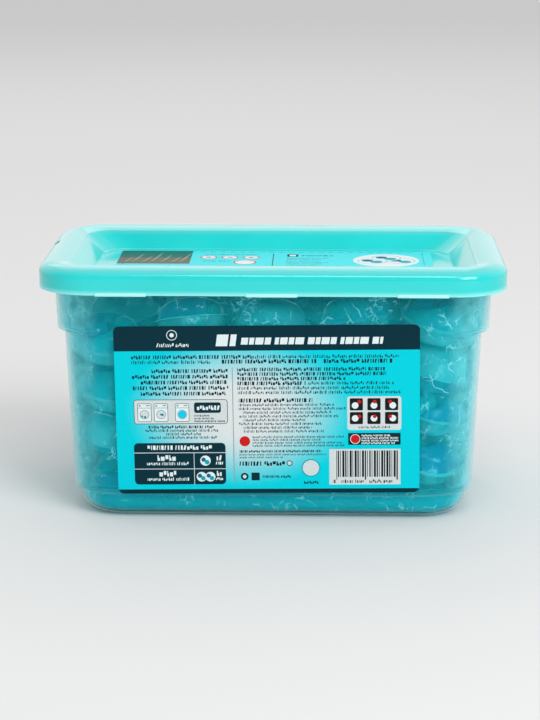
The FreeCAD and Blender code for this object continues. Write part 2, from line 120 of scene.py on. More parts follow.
def clouds(tree: bpy.types.NodeTree, size: float, low: float = 0.0, high: float = 1.0,
           start: float = 0.35, end: float = 0.65, detail: float = 3.0) -> bpy.types.NodeSocket:
    """Draw soft clouds of a real size that run between two values.

    Args:
        tree: The node tree that gets the clouds.
        size: Size of one cloud in millimetres.
        low: The value up to the noise's start.
        high: The value from the noise's end on.
        start: Where the noise begins to rise from the low value.
        end: Where the noise reaches the high value.
        detail: How many finer layers the noise has.

    Returns:
        The clouds' value.
    """
    place = add_node(tree, "ShaderNodeTexCoord").outputs["Object"]
    noise_node = add_node(tree, "ShaderNodeTexNoise", {"Vector": place, "Scale": 1 / (size * MM),
                                                       "Detail": detail})
    return add_node(tree, "ShaderNodeMapRange", {
        "Value": noise_node.outputs["Fac"], "From Min": start, "From Max": end, "To Min": low,
        "To Max": high}).outputs["Result"]


def relief(tree: bpy.types.NodeTree, size: float, depth: float, strength: float,
           detail: float = 3.0) -> bpy.types.NodeSocket:
    """Raise a soft relief of a real size.

    Args:
        tree: The node tree that gets the relief.
        size: Size of one grain in millimetres.
        depth: Depth of the relief in millimetres.
        strength: How much of that depth shows.
        detail: How many finer layers it has.

    Returns:
        The surface direction that the relief gives.
    """
    height = clouds(tree, size, start=0, end=1, detail=detail)
    return add_node(tree, "ShaderNodeBump", {"Height": height, "Strength": strength,
                                             "Distance": depth * MM}).outputs["Normal"]


def along(tree: bpy.types.NodeTree, axis: str, start: float, end: float, low: float = 0.0,
          high: float = 1.0, both_ways: bool = False, **settings) -> bpy.types.NodeSocket:
    """Change a value along one of the piece's own axes.

    Args:
        tree: The node tree.
        axis: X, Y or Z.
        start: Where the change starts, in millimetres.
        end: Where it ends, in millimetres.
        low: The value up to the start.
        high: The value from the end on.
        both_ways: Whether it runs the same way to either side of the middle.
        **settings: Properties of the node that maps the range.

    Returns:
        The value.
    """
    place = add_node(tree, "ShaderNodeTexCoord").outputs["Object"]
    way = add_node(tree, "ShaderNodeSeparateXYZ", {0: place}).outputs[axis]
    if both_ways:
        way = add_node(tree, "ShaderNodeMath", {0: way}, operation="ABSOLUTE").outputs[0]
    return add_node(tree, "ShaderNodeMapRange", {
        "Value": way, "From Min": start * MM, "From Max": end * MM, "To Min": low, "To Max": high},
        **settings).outputs["Result"]


def towards_edges(tree: bpy.types.NodeTree, blend: float, start: float, end: float,
                  high: float) -> bpy.types.NodeSocket:
    """Thicken a haze where light passes the wall at a slant; where the haze is pale it is also painted
    highlight.

    Args:
        tree: The node tree.
        blend: How soon a slanting surface counts as an edge.
        start: Where the haze starts.
        end: Where it is full.
        high: The full haze.

    Returns:
        The haze's share.
    """
    facing = add_node(tree, "ShaderNodeLayerWeight", {"Blend": blend}).outputs["Facing"]
    return add_node(tree, "ShaderNodeMapRange", {
        "Value": facing, "From Min": start, "From Max": end, "To Max": high}).outputs["Result"]


def layered(tree: bpy.types.NodeTree, tint: str,
            layers: Iterable[tuple[str, float | bpy.types.NodeSocket]], gloss: dict) -> None:
    """Lay hazes over a clear wall or film and make the result the surface.

    Args:
        tree: The node tree.
        tint: Colour that light takes when it passes.
        layers: Each haze's colour and its share of the surface.
        gloss: Roughness, IOR and surface direction of the hazes.
    """
    mixed = add_node(tree, "ShaderNodeBsdfTransparent", {"Color": linear(tint)})
    for colour, share in layers:
        haze = add_node(tree, "ShaderNodeBsdfPrincipled", {"Base Color": linear(colour), **gloss})
        mixed = add_node(tree, "ShaderNodeMixShader", {0: share, 1: mixed.outputs[0], 2: haze.outputs[0]})
    add_node(tree, "ShaderNodeOutputMaterial", {"Surface": mixed.outputs[0]})


@dataclass(frozen=True)
class MouldedPolypropylene:
    """Opaque polypropylene, injection moulded: satin gloss, faint flow marks, paler at the foot, painted
    reflection on the rim.
    """

    name: str
    colour: str
    deep_colour: str
    roughness: float = 0.17
    roughness_less: float = 0.02
    roughness_more: float = 0.03
    ior: float = 1.49
    flow_size: float = 26.0
    haze_size: float = 9.0
    # The real skin has grains of about 0.05 mm. They are drawn ten times as coarse, to show at all.
    skin_size: float = 0.5
    skin_depth: float = 0.05
    skin_strength: float = 0.02
    coat: float = 0.5
    coat_roughness: float = 0.1
    # Paler towards the skirt's foot: in full below the low height, fading out by the high one.
    foot_pale_colour: str = "#86E6E3"
    foot_pale_low: float = 97.6
    foot_pale_high: float = 99.4
    # Painted reflection: from these heights up the lid is paled, which stands in for the bright surroundings
    # that its rim mirrors.
    rim_reflection_colour: str = "#58CCCB"
    rim_reflection_low: float = 105.0
    rim_reflection_high: float = 106.9

    def material(self) -> bpy.types.Material:
        """Make the material: two close shades along the flow, paler at the foot, and a painted reflection
        that pales the rim.
        """
        made, tree = new_material(self.name)
        shade = linear(self.colour)
        for share, colour in (
                (clouds(tree, self.flow_size, detail=2.0), self.deep_colour),
                (along(tree, "Z", self.foot_pale_low, self.foot_pale_high, 1, 0), self.foot_pale_colour),
                (along(tree, "Z", self.rim_reflection_low, self.rim_reflection_high), self.rim_reflection_colour)):
            shade = add_node(tree, "ShaderNodeMix", {"Factor": share, 6: shade, 7: linear(colour)},
                             data_type="RGBA").outputs[2]
        shader = add_node(tree, "ShaderNodeBsdfPrincipled", {
            "Base Color": shade, "IOR": self.ior, "Coat Weight": self.coat,
            "Coat Roughness": self.coat_roughness,
            "Normal": relief(tree, self.skin_size, self.skin_depth, self.skin_strength),
            "Roughness": clouds(tree, self.haze_size, self.roughness - self.roughness_less,
                                self.roughness + self.roughness_more, detail=4.0)})
        add_node(tree, "ShaderNodeOutputMaterial", {"Surface": shader.outputs[0]})
        return made


@dataclass(frozen=True)
class ClearPolypropylene:
    """Clarified polypropylene, injection moulded: clear with a turquoise tint, glossy and a little hazy."""

    name: str
    tint: str = "#E4FCFE"
    body_colour: str = "#04DAE4"
    body_haze: float = 0.1
    # The pale edge haze is partly the longer path through the slanted wall and partly painted highlight
    # along rounded edges and ledges.
    edge_colour: str = "#E3F6F7"
    edge_haze: float = 0.7
    edge_blend: float = 0.35
    edge_start: float = 0.36
    edge_end: float = 0.92
    roughness: float = 0.07
    ior: float = 1.49
    wave_size: float = 30.0
    wave_depth: float = 0.4
    wave_strength: float = 0.12

    def material(self) -> bpy.types.Material:
        """Make the material: tinted light passes, the wall holds a little colour, its edges look pale,
        partly by painted highlight.
        """
        made, tree = new_material(self.name)
        wave = relief(tree, self.wave_size, self.wave_depth, self.wave_strength, 1.0)
        edge = towards_edges(tree, self.edge_blend, self.edge_start, self.edge_end, self.edge_haze)
        layered(tree, self.tint, ((self.body_colour, self.body_haze), (self.edge_colour, edge)),
                {"Roughness": self.roughness, "IOR": self.ior, "Normal": wave})
        return made


@dataclass(frozen=True)
class CrumpledFilm:
    """Polyethylene film, blown and crumpled: nearly clear, with sharp white glints along its creases."""

    name: str
    tint: str = "#F2FEFE"
    veil_colour: str = "#14D4E0"
    veil_least: float = 0.14
    veil_most: float = 0.45
    # The white along the creases is partly painted highlight, which stands in for glints of light, and
    # partly the whitened film of real creases.
    crease_glint_colour: str = "#F0FDFD"
    crease_size: float = 9.0
    crease_width: float = 0.03
    fine_size: float = 3.0
    # Real creases are hairlines. These are about 0.15 to 0.3 mm wide, so that the render shows them.
    fine_width: float = 0.05
    crease_depth: float = 1.2
    crease_strength: float = 0.8
    foot_colour: str = "#00CCDA"
    foot_haze: float = 0.62
    foot_low: float = 9.75
    foot_high: float = 14.95
    end_colour: str = "#E2FAFA"
    end_haze: float = 0.95
    end_start: float = 71.0
    end_full: float = 84.0
    patch_size: float = 20.0
    busy_size: float = 10.0
    break_size: float = 3.6
    fold_haze: float = 0.5
    fold_blend: float = 0.4
    roughness: float = 0.1
    ior: float = 1.51

    def lines(self, tree: bpy.types.NodeTree, size: float, width: float) -> list[bpy.types.NodeSocket]:
        """Draw a net of bent creases.

        Args:
            tree: The node tree.
            size: Distance between creases in millimetres.
            width: Share of that distance that a crease takes.

        Returns:
            The distance from the creases, and a share that is 1 on them.
        """
        bend_size, bend_reach = 2.5 * size, 1.2 * size
        place = add_node(tree, "ShaderNodeTexCoord").outputs["Object"]
        wander = add_node(tree, "ShaderNodeTexNoise", {"Vector": place, "Scale": 1 / (bend_size * MM),
                                                       "Detail": 1.0})
        bent = add_node(tree, "ShaderNodeVectorMath", {0: wander.outputs["Color"],
                                                       "Scale": bend_reach * MM}, operation="SCALE")
        moved = add_node(tree, "ShaderNodeVectorMath", {0: place, 1: bent.outputs[0]})
        away = add_node(tree, "ShaderNodeTexVoronoi", {"Vector": moved.outputs[0],
                                                       "Scale": 1 / (size * MM)},
                        feature="DISTANCE_TO_EDGE").outputs["Distance"]
        on_line = add_node(tree, "ShaderNodeMapRange", {"Value": away, "From Max": width, "To Min": 1.0,
                                                        "To Max": 0.0})
        return [away, on_line.outputs["Result"]]

    def white(self, tree: bpy.types.NodeTree, line: bpy.types.NodeSocket,
              where: bpy.types.NodeSocket) -> bpy.types.NodeSocket:
        """Break a net of creases into short glints that show in some places only.

        Args:
            tree: The node tree.
            line: The creases' share.
            where: The share of the places where they show.

        Returns:
            The glints' share.
        """
        for mask in (clouds(tree, self.break_size, start=0.46, end=0.56, detail=0.0), where):
            line = add_node(tree, "ShaderNodeMath", {0: line, 1: mask}, operation="MULTIPLY").outputs[0]
        return line

    def material(self) -> bpy.types.Material:
        """Make the material: clear and veiled fields, white creases that are partly painted glints, and film
        bunched up in the foot.
        """
        made, tree = new_material(self.name)
        broad, crease = self.lines(tree, self.crease_size, self.crease_width)
        small, fine = self.lines(tree, self.fine_size, self.fine_width)
        foot = along(tree, "Z", self.foot_low, self.foot_high, self.foot_haze, 0)
        ends = add_node(tree, "ShaderNodeMath", {
            0: along(tree, "X", self.end_start, self.end_full, 0, self.end_haze, both_ways=True),
            1: clouds(tree, self.busy_size, 0.6, 1.0, 0.38, 0.54, 1.0)}, operation="MULTIPLY")
        veil = add_node(tree, "ShaderNodeMath", {
            0: clouds(tree, self.patch_size, self.veil_least, self.veil_most, 0.46, 0.7, 2.0),
            1: towards_edges(tree, self.fold_blend, 0.5, 1.0, self.fold_haze)}, operation="MAXIMUM")
        white = add_node(tree, "ShaderNodeMath", {
            0: self.white(tree, crease, clouds(tree, self.patch_size, 0, 1, 0.46, 0.58, 2.0)),
            1: self.white(tree, fine, clouds(tree, self.busy_size, 0, 1, 0.54, 0.64, 1.0))},
            operation="MAXIMUM")
        height = add_node(tree, "ShaderNodeMath", {0: broad, 1: small}, operation="ADD")
        bump = add_node(tree, "ShaderNodeBump", {
            "Height": height.outputs[0], "Strength": self.crease_strength,
            "Distance": self.crease_depth * MM})
        layered(tree, self.tint, ((self.foot_colour, foot), (self.veil_colour, veil.outputs[0]),
                                  (self.end_colour, ends.outputs[0]),
                                  (self.crease_glint_colour, white.outputs[0])),
                {"Roughness": self.roughness, "IOR": self.ior, "Normal": bump.outputs["Normal"]})
        return made


@dataclass(frozen=True)
class GelPouch:
    """Polyvinyl alcohol film drawn over gel, cast: saturated colour under a tight wet-looking skin."""

    name: str
    colour: str
    cloud_colour: str
    roughness: float = 0.14
    ior: float = 1.48
    coat: float = 0.6
    coat_roughness: float = 0.06
    cloud_size: float = 8.0
    skin_size: float = 1.6
    skin_depth: float = 0.2
    skin_strength: float = 0.15

    def material(self) -> bpy.types.Material:
        """Make the material: clouded colour, a soft skin relief and a clear gloss over it."""
        made, tree = new_material(self.name)
        shade = add_node(tree, "ShaderNodeMix", {
            "Factor": clouds(tree, self.cloud_size), 6: linear(self.colour), 7: linear(self.cloud_colour)},
            data_type="RGBA")
        shader = add_node(tree, "ShaderNodeBsdfPrincipled", {
            "Base Color": shade.outputs[2], "Roughness": self.roughness, "IOR": self.ior,
            "Coat Weight": self.coat, "Coat Roughness": self.coat_roughness,
            "Normal": relief(tree, self.skin_size, self.skin_depth, self.skin_strength)})
        add_node(tree, "ShaderNodeOutputMaterial", {"Surface": shader.outputs[0]})
        return made


class Ink(Enum):
    """The inks of the labels: each value is its colour."""

    NAVY = "#06303C"
    PALE = "#CFD7D8"
    TEXT = "#123C46"
    DARK = "#171D20"
    GREY = "#8C9AA0"
    WHITE = "#DCEAEB"
    CYAN = "#14C6E6"
    TEAL = "#0FA3B1"
    BLUE = "#17638A"
    RED = "#C81E1E"
    MOSS = "#0A6A62"
    EARTH = "#6E675F"
    STRAW = "#9DB27C"


@dataclass(frozen=True)
class PrintedFilm:
    """Polypropylene label film, offset printed: satin colour with a faint mottle of ink."""

    name: str
    colour: str
    middle_colour: str | None = None
    middle: tuple[float, float, float] = (0.0, 0.0, 0.0)
    reach: tuple[float, float, float] = (1.0, 1.0, 1.0)
    fade_start: float = 0.25
    fade_end: float = 1.1
    roughness: float = 0.42
    ior: float = 1.5
    gloss: float = 0.06
    # A real print raster has dots of about 0.15 mm. Its mottle is drawn six times as coarse.
    mottle_size: float = 0.9
    mottle_colour: str = "#101010"
    mottle: float = 0.05

    def ground(self, tree: bpy.types.NodeTree) -> bpy.types.NodeSocket:
        """Return the colour of a field that pales towards its middle."""
        shift = add_node(tree, "ShaderNodeTexCoord").outputs["Object"]
        for values, operation in ((self.middle, "SUBTRACT"), (self.reach, "DIVIDE")):
            shift = add_node(tree, "ShaderNodeVectorMath", {0: shift, 1: [value * MM for value in values]},
                             operation=operation).outputs[0]
        length = add_node(tree, "ShaderNodeVectorMath", {0: shift}, operation="LENGTH")
        fade = add_node(tree, "ShaderNodeMapRange", {
            "Value": length.outputs["Value"], "From Min": self.fade_start, "From Max": self.fade_end},
            interpolation_type="SMOOTHSTEP")
        return add_node(tree, "ShaderNodeMix", {
            "Factor": fade.outputs["Result"], 6: linear(self.middle_colour), 7: linear(self.colour)},
            data_type="RGBA").outputs[2]

    def material(self) -> bpy.types.Material:
        """Make the material: a flat ink, or a field that pales towards its middle."""
        made, tree = new_material(self.name)
        colour = add_node(tree, "ShaderNodeMix", {
            "Factor": clouds(tree, self.mottle_size, 0, self.mottle),
            6: self.ground(tree) if self.middle_colour else linear(self.colour),
            7: linear(self.mottle_colour)}, data_type="RGBA")
        shader = add_node(tree, "ShaderNodeBsdfPrincipled", {
            "Base Color": colour.outputs[2], "Roughness": self.roughness, "IOR": self.ior,
            "Specular IOR Level": self.gloss})
        add_node(tree, "ShaderNodeOutputMaterial", {"Surface": shader.outputs[0]})
        return made


@dataclass(frozen=True)
class PaperSweep:
    """Matt paper that the tub stands on: pale grey, with painted light that makes it a little lighter behind
    the tub.
    """

    name: str = "matt_paper"
    # Painted light: the far colour is a little lighter, as the paper behind the tub is more brightly lit.
    near_colour: str = "#DEDEDE"
    far_colour: str = "#E4E3E3"
    near: float = -60.0
    far: float = 220.0
    roughness: float = 0.9
    gloss: float = 0.1

    def material(self) -> bpy.types.Material:
        """Make the material: a soft change of grey from front to back, which is painted light, and no gloss.
        """
        made, tree = new_material(self.name)
        share = along(tree, "Y", self.near, self.far, interpolation_type="SMOOTHSTEP")
        colour = add_node(tree, "ShaderNodeMix", {
            "Factor": share, 6: linear(self.near_colour), 7: linear(self.far_colour)}, data_type="RGBA")
        shader = add_node(tree, "ShaderNodeBsdfPrincipled", {
            "Base Color": colour.outputs[2], "Roughness": self.roughness,
            "Specular IOR Level": self.gloss})
        add_node(tree, "ShaderNodeOutputMaterial", {"Surface": shader.outputs[0]})
        return made


@dataclass(frozen=True)
class Ring:
    """A level rounded rectangle: its height, half sizes and corner radius."""

    height: float
    half_length: float
    half_width: float
    corner: float

    def inset(self, by: float, height: float | None = None) -> "Ring":
        """Return a ring drawn in by a distance, at another height if given."""
        return Ring(self.height if height is None else height, self.half_length - by,
                    self.half_width - by, max(self.corner - by, LEAST_CORNER))

    def points(self, per_corner: int, per_length: int, per_width: int) -> list[Vector]:
        """Walk round the ring counterclockwise.

        Args:
            per_corner: Steps round each corner.
            per_length: Steps along each side that runs along X.
            per_width: Steps along each side that runs along Y.

        Returns:
            The points in millimetres.
        """
        found = []
        for turn, (x, y) in enumerate(((1, 1), (-1, 1), (-1, -1), (1, -1))):
            middle = Vector((x * (self.half_length - self.corner), y * (self.half_width - self.corner),
                             self.height))
            for step in range(per_corner + 1):
                angle = math.radians(90 * (turn + step / per_corner))
                found.append(middle + self.corner * Vector((math.cos(angle), math.sin(angle), 0)))
            steps = per_length if turn % 2 == 0 else per_width
            way = (Vector((-x * (self.half_length - self.corner), 0, 0)) if turn % 2 == 0
                   else Vector((0, -y * (self.half_width - self.corner), 0)))
            start = found[-1]
            found += [start + 2 * way * step / steps for step in range(1, steps)]
        return found


def shade(mesh: bpy.types.Mesh, sharp: float = SHARP_ANGLE) -> None:
    """Shade a mesh smooth, but keep edges sharp that turn more than an angle in degrees."""
    mesh.shade_smooth()
    mesh.set_sharp_from_angle(angle=math.radians(sharp))


def new_piece(name: str, points: Sequence[Vector], faces: Sequence[Sequence[int]],
              materials: Iterable[bpy.types.Material], kinds: Sequence[int] | None = None,
              sharp: float = SHARP_ANGLE) -> bpy.types.Object:
    """Make an object of points in millimetres.

    Args:
        name: The piece's name.
        points: The mesh's points in millimetres.
        faces: The faces' point numbers.
        materials: The piece's materials.
        kinds: Each face's material number, if there are several.
        sharp: Edges that turn more than this many degrees stay sharp.

    Returns:
        The object, linked to the scene.
    """
    mesh = bpy.data.meshes.new(name)
    mesh.from_pydata([tuple(point * MM) for point in points], [], faces)
    for material in materials:
        mesh.materials.append(material)
    if kinds is not None:
        mesh.polygons.foreach_set("material_index", list(kinds))
    mesh.validate()
    shade(mesh, sharp)
    made = bpy.data.objects.new(name, mesh)
    bpy.context.scene.collection.objects.link(made)
    return made


def skin(rings: Sequence[Sequence[Vector]], first: int = 0) -> list[list[int]]:
    """Join rings of equally many points into a tube that is closed flat at both ends.

    Args:
        rings: The rings, each a list of points.
        first: The number of the first ring's first point.

    Returns:
        The faces.
    """
    count = len(rings[0])
    faces = [list(range(first + count - 1, first - 1, -1))]
    for level in range(len(rings) - 1):
        low, high = first + level * count, first + (level + 1) * count
        faces += [[low + i, low + (i + 1) % count, high + (i + 1) % count, high + i]
                  for i in range(count)]
    last = first + (len(rings) - 1) * count
    faces.append(list(range(last, last + count)))
    return faces


def apply_modifiers(piece: bpy.types.Object) -> None:
    """Turn a piece's modifiers into its mesh, and mark its sharp edges again."""
    shown = piece.evaluated_get(bpy.context.evaluated_depsgraph_get())
    mesh = bpy.data.meshes.new_from_object(shown)
    piece.modifiers.clear()
    piece.data = mesh
    shade(mesh)


def round_edges(piece: bpy.types.Object, width: float) -> None:
    """Round a piece's sharp edges by a width in millimetres."""
    bevel = piece.modifiers.new("rounding", "BEVEL")
    bevel.width = width * MM
    bevel.segments = ROUNDING_SEGMENTS
    bevel.limit_method = "ANGLE"
    bevel.angle_limit = math.radians(ROUNDED_ANGLE)
    bevel.miter_outer = "MITER_ARC"
    apply_modifiers(piece)


def cut_away(piece: bpy.types.Object, cutters: Sequence[bpy.types.Object]) -> None:
    """Cut solids out of a piece and remove them.

    Args:
        piece: The object to cut.
        cutters: The solids to cut away.
    """
    for cutter in cutters:
        cut = piece.modifiers.new("cut", "BOOLEAN")
        cut.object = cutter
        cut.solver = "EXACT"
        apply_modifiers(piece)
        bpy.data.objects.remove(cutter)


def block(name: str, centre: Vector, sizes: Vector, corner: float, material: bpy.types.Material,
          rounding: float = 0.0) -> bpy.types.Object:
    """Make a block with rounded upright corners.

    Args:
        name: The object's name.
        centre: Its middle in millimetres.
        sizes: Its length, width and height in millimetres.
        corner: Plan radius of its corners.
        material: Its material.
        rounding: Rounding of its level edges, if any.

    Returns:
        The object.
    """
    steps = (4, 2, 2)
    rings = [[point + Vector((centre.x, centre.y, 0)) for point in
              Ring(centre.z + side * sizes.z / 2, sizes.x / 2, sizes.y / 2, corner).points(*steps)]
             for side in (-1, 1)]
    made = new_piece(name, [point for ring in rings for point in ring], skin(rings), [material])
    if rounding:
        round_edges(made, rounding)
    return made


@dataclass
class Tub:
    """The clear tub: a rounded foot, a leaning body, a collar that steps out at its ends, a flange."""

    height: float = 106.3
    ledge: float = 79.4
    step: float = 11.1
    half_length: float = 89.4
    half_width: float = 48.9
    draft: float = 0.04
    ledge_step: float = 2.9
    step_inset: float = 2.8
    corner: float = 20.0
    foot_corner: float = 19.0
    foot_round: float = 7.0
    wall: float = 1.1
    feet_height: float = 0.5
    feet_radius: float = 6.0
    feet_inset: float = 0.5
    flange_thickness: float = 1.6
    flange_half_length: float = 94.315
    flange_half_width: float = 53.815
    flange_corner: float = 20.6
    edge_rounding: float = 0.7
    steps: tuple[int, int, int] = (12, 16, 8)
    finish: ClearPolypropylene = ClearPolypropylene("clear_polypropylene")

    def outline(self, region: str, height: float) -> Ring:
        """Return the outside of the wall at a height, in the foot, body or collar."""
        lean = self.draft * (height - self.ledge)
        end = {"collar": 0.0, "body": self.ledge_step, "foot": self.ledge_step + self.step_inset}[region]
        side = self.step_inset if region == "foot" else 0.0
        corner = self.foot_corner if region == "foot" else self.corner
        return Ring(height, self.half_length + lean - end, self.half_width + lean - side, corner)

    def wall_rings(self, inset: float, top: float) -> list[Ring]:
        """Return the wall's rings from the floor up, drawn in by an inset.

        Args:
            inset: How far inside the wall's outer face the rings lie.
            top: Height of the last ring.

        Returns:
            The rings.
        """
        foot = self.outline("foot", self.step).inset(inset)
        radius = self.foot_round - inset
        floor = self.feet_height + inset
        rings = []
        for step in range(ARC_STEPS + 1):
            angle = math.radians(90 * step / ARC_STEPS)
            rings.append(foot.inset(radius * (1 - math.sin(angle)),
                                    floor + radius * (1 - math.cos(angle))))
        rings += [foot.inset(0, self.step + inset),
                  self.outline("body", self.step).inset(inset, self.step + inset),
                  self.outline("body", self.ledge).inset(inset, self.ledge + inset),
                  self.outline("collar", self.ledge).inset(inset, self.ledge + inset)]
        return rings + [self.outline("collar", top).inset(inset, top)]

    def feet(self) -> list[tuple[list[Vector], list[list[int]]]]:
        """Return the four low three-sided feet, each as points and faces."""
        diagonal = math.sqrt(0.5)
        edge = (self.foot_round + (self.foot_corner - self.foot_round) * (1 - diagonal) + self.feet_inset
                + self.feet_radius * diagonal)
        foot = self.outline("foot", self.step)
        found = []
        for x, y in ((1, 1), (-1, 1), (-1, -1), (1, -1)):
            middle = Vector((x * (foot.half_length - edge), y * (foot.half_width - edge), 0))
            outward = math.atan2(y, x)
            loops = [[middle + Vector((self.feet_radius * math.cos(outward + math.tau * k / 3),
                                       self.feet_radius * math.sin(outward + math.tau * k / 3), height))
                      for k in range(3)] for height in (0, self.feet_height + self.wall / 2)]
            found.append(([point for loop in loops for point in loop], skin(loops)))
        return found

    def build(self) -> bpy.types.Object:
        """Build the tub as one closed shell, round its edges and dress it."""
        under = self.height - self.flange_thickness
        rings = self.wall_rings(0, under)
        rings += [Ring(height, self.flange_half_length, self.flange_half_width, self.flange_corner)
                  for height in (under, self.height)]
        rings += reversed(self.wall_rings(self.wall, self.height))
        loops = [ring.points(*self.steps) for ring in rings]
        tub = new_piece("clear_tub", [point for loop in loops for point in loop], skin(loops),
                        [self.finish.material()])
        round_edges(tub, self.edge_rounding)
        self.add_feet(tub)
        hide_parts("tub")
        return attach(tub, Body.TUB.value)

    def add_feet(self, tub: bpy.types.Object) -> None:
        """Add the feet to the tub's own mesh."""
        mesh = bmesh.new()
        mesh.from_mesh(tub.data)
        for points, faces in self.feet():
            corners = [mesh.verts.new(point * MM) for point in points]
            for numbers in faces:
                mesh.faces.new([corners[number] for number in numbers])
        mesh.to_mesh(tub.data)
        mesh.free()


@dataclass
class SnapLid:
    """The turquoise lid: a skirt with snap tabs, a crowned rim, and a deep recess with slanted walls."""

    top: float = 108.0
    skirt_foot: float = 97.3
    skirt_band: float = 3.0
    half_length: float = 96.015
    half_width: float = 55.515
    corner: float = 22.3
    wall: float = 1.4
    edge_inset: float = 1.7
    edge_drop: float = 1.5
    peak_inset: float = 7.0
    mouth_inset: float = 14.4
    mouth_drop: float = 1.2
    rim_width: float = 11.6
    recess_depth: float = 8.4
    recess_slant: float = 9.0
    mouth_corner: float = 9.0
    floor_corner: float = 13.5
    mouth_round: float = 1.2
    floor_round: float = 1.2
    neck_drop: float = 2.1
    under_turn: tuple[tuple[float, float], ...] = ((1.0, 0.0), (0.2, 0.6), (0.0, 1.6))
    tab_length: float = 20.8
    tab_pitch: float = 60.8
    tab_height: float = 1.4
    tab_drop: float = 0.4
    tab_proud: float = 0.35
    tab_corner: float = 0.3
    tab_rounding: float = 0.25
    dip_length: float = 10.4
    dip_pitch: float = 31.0
    dip_depth: float = 0.6
    dip_reach: float = 8.5
    dip_corner: float = 0.8
    notch: Vector = field(default_factory=lambda: Vector((1.7, 7.5, 4.6)))
    notch_inset: float = 2.3
    notch_offset: float = 9.4
    notch_corner: float = 0.4
    steps: tuple[int, int, int] = (16, 24, 12)
    crown_steps: int = 6
    turn_steps: int = 4
    sharp: float = 35.0
    finish: MouldedPolypropylene = MouldedPolypropylene("turquoise_polypropylene", "#16D1CF", "#10CCCA")
    # The tabs' pale colour is a painted highlight: it stands in for the light that their upper faces catch.
    tab_finish: MouldedPolypropylene = MouldedPolypropylene(
        "thin_polypropylene", "#A9EFED", "#9DEAE8", foot_pale_colour="#A9EFED")

    def recess_ring(self, drop: float, grow: float = 0.0) -> Ring:
        """Return the recess wall's outline at a drop below the rim.

        Args:
            drop: Distance below the top.
            grow: How far outside the wall's face the ring lies.

        Returns:
            The ring.
        """
        share = drop / self.recess_depth
        inset = self.rim_width + self.recess_slant * share - grow
        corner = self.mouth_corner + (self.floor_corner - self.mouth_corner) * share + grow
        return Ring(self.top - drop, self.half_length - inset, self.half_width - inset, corner)

    def end_inset(self, inset: float) -> float:
        """Return how far in a ring lies at the ends, where the mouth starts sooner than at the sides."""
        floor = self.rim_width + self.recess_slant
        stops = ((0, 0), (self.peak_inset, self.peak_inset), (self.mouth_inset, self.rim_width),
                 (floor, floor))
        for (start, low), (end, high) in zip(stops, stops[1:]):
            if inset < end:
                return low + (high - low) * (inset - start) / (end - start)
        return inset

    def level(self, inset: float, height: float) -> Ring:
        """Return the outline at a distance inside the skirt, with tighter corners at the recess mouth."""
        if inset <= self.rim_width:
            corner = self.corner + (self.mouth_corner - self.corner) * inset / self.rim_width
        else:
            share = (inset - self.rim_width) / self.recess_slant
            corner = self.mouth_corner + (self.floor_corner - self.mouth_corner) * share
        return Ring(height, self.half_length - self.end_inset(inset), self.half_width - inset, corner)

    def outside(self) -> list[Ring]:
        """Return the rings of the upper face: skirt, rounded edge, crowned rim, slanted wall, floor."""
        rings = [self.level(0, self.skirt_foot), self.level(0, self.skirt_foot + self.skirt_band)]
        outer_tilt = math.atan2(2 * self.edge_drop, self.peak_inset - self.edge_inset)
        radius = self.edge_inset / (1 - math.sin(outer_tilt))
        shoulder = self.top - self.edge_drop
        for step in range(ARC_STEPS + 1):
            angle = math.pi / 2 + (outer_tilt - math.pi / 2) * step / ARC_STEPS
            rings.append(self.level(radius * (1 - math.sin(angle)),
                                    shoulder - radius * (math.cos(outer_tilt) - math.cos(angle))))
        for start, end, drops in ((self.edge_inset, self.peak_inset, (self.edge_drop, 0)),
                                  (self.peak_inset, self.mouth_inset, (0, self.mouth_drop))):
            for step in range(1, self.crown_steps + 1):
                share = step / self.crown_steps
                drop = drops[0] * (1 - share) ** 2 + drops[1] * share ** 2
                rings.append(self.level(start + (end - start) * share, self.top - drop))
        inner_tilt = math.atan2(2 * self.mouth_drop, self.mouth_inset - self.peak_inset)
        floor_inset, floor = self.rim_width + self.recess_slant, self.top - self.recess_depth
        slope = math.atan2(self.recess_depth - self.mouth_drop, floor_inset - self.mouth_inset)
        for step in range(1, self.turn_steps + 1):
            angle = inner_tilt + (slope - inner_tilt) * step / self.turn_steps
            rings.append(self.level(
                self.mouth_inset + self.mouth_round * (math.sin(angle) - math.sin(inner_tilt)),
                self.top - self.mouth_drop - self.mouth_round * (math.cos(inner_tilt) - math.cos(angle))))
        turn = self.floor_round * math.tan(slope / 2)
        for step in range(self.turn_steps + 1):
            angle = slope * (1 - step / self.turn_steps)
            rings.append(self.level(floor_inset + turn - self.floor_round * math.sin(angle),
                                    floor + self.floor_round * (1 - math.cos(angle))))
        return rings

    def underside(self) -> list[Ring]:
        """Return the rings of the lower face, from the middle out to the skirt's foot."""
        inner = Ring(self.top, self.half_length - self.wall, self.half_width - self.wall,
                     self.corner - self.wall)
        low = self.recess_ring(self.recess_depth, self.wall)
        high = self.recess_ring(self.neck_drop, self.wall)
        ceiling = self.top - self.wall
        return [low.inset(0, ceiling - self.recess_depth), high.inset(0, ceiling),
                *(inner.inset(by, ceiling - drop) for by, drop in self.under_turn),
                inner.inset(0, self.skirt_foot)]

    def cutters(self, material: bpy.types.Material) -> list[bpy.types.Object]:
        """Return the solids of the two dips in the far edge and the slot in the left rim."""
        found = [block(f"dip_{side}", Vector((side * self.dip_pitch / 2, self.half_width, self.top)),
                       Vector((self.dip_length, 2 * self.dip_reach, 2 * self.dip_depth)),
                       self.dip_corner, material)
                 for side in (-1, 1)]
        found.append(block("slot", Vector((-self.half_length + self.notch_inset, self.notch_offset,
                                           self.top)), self.notch, self.notch_corner, material))
        return found

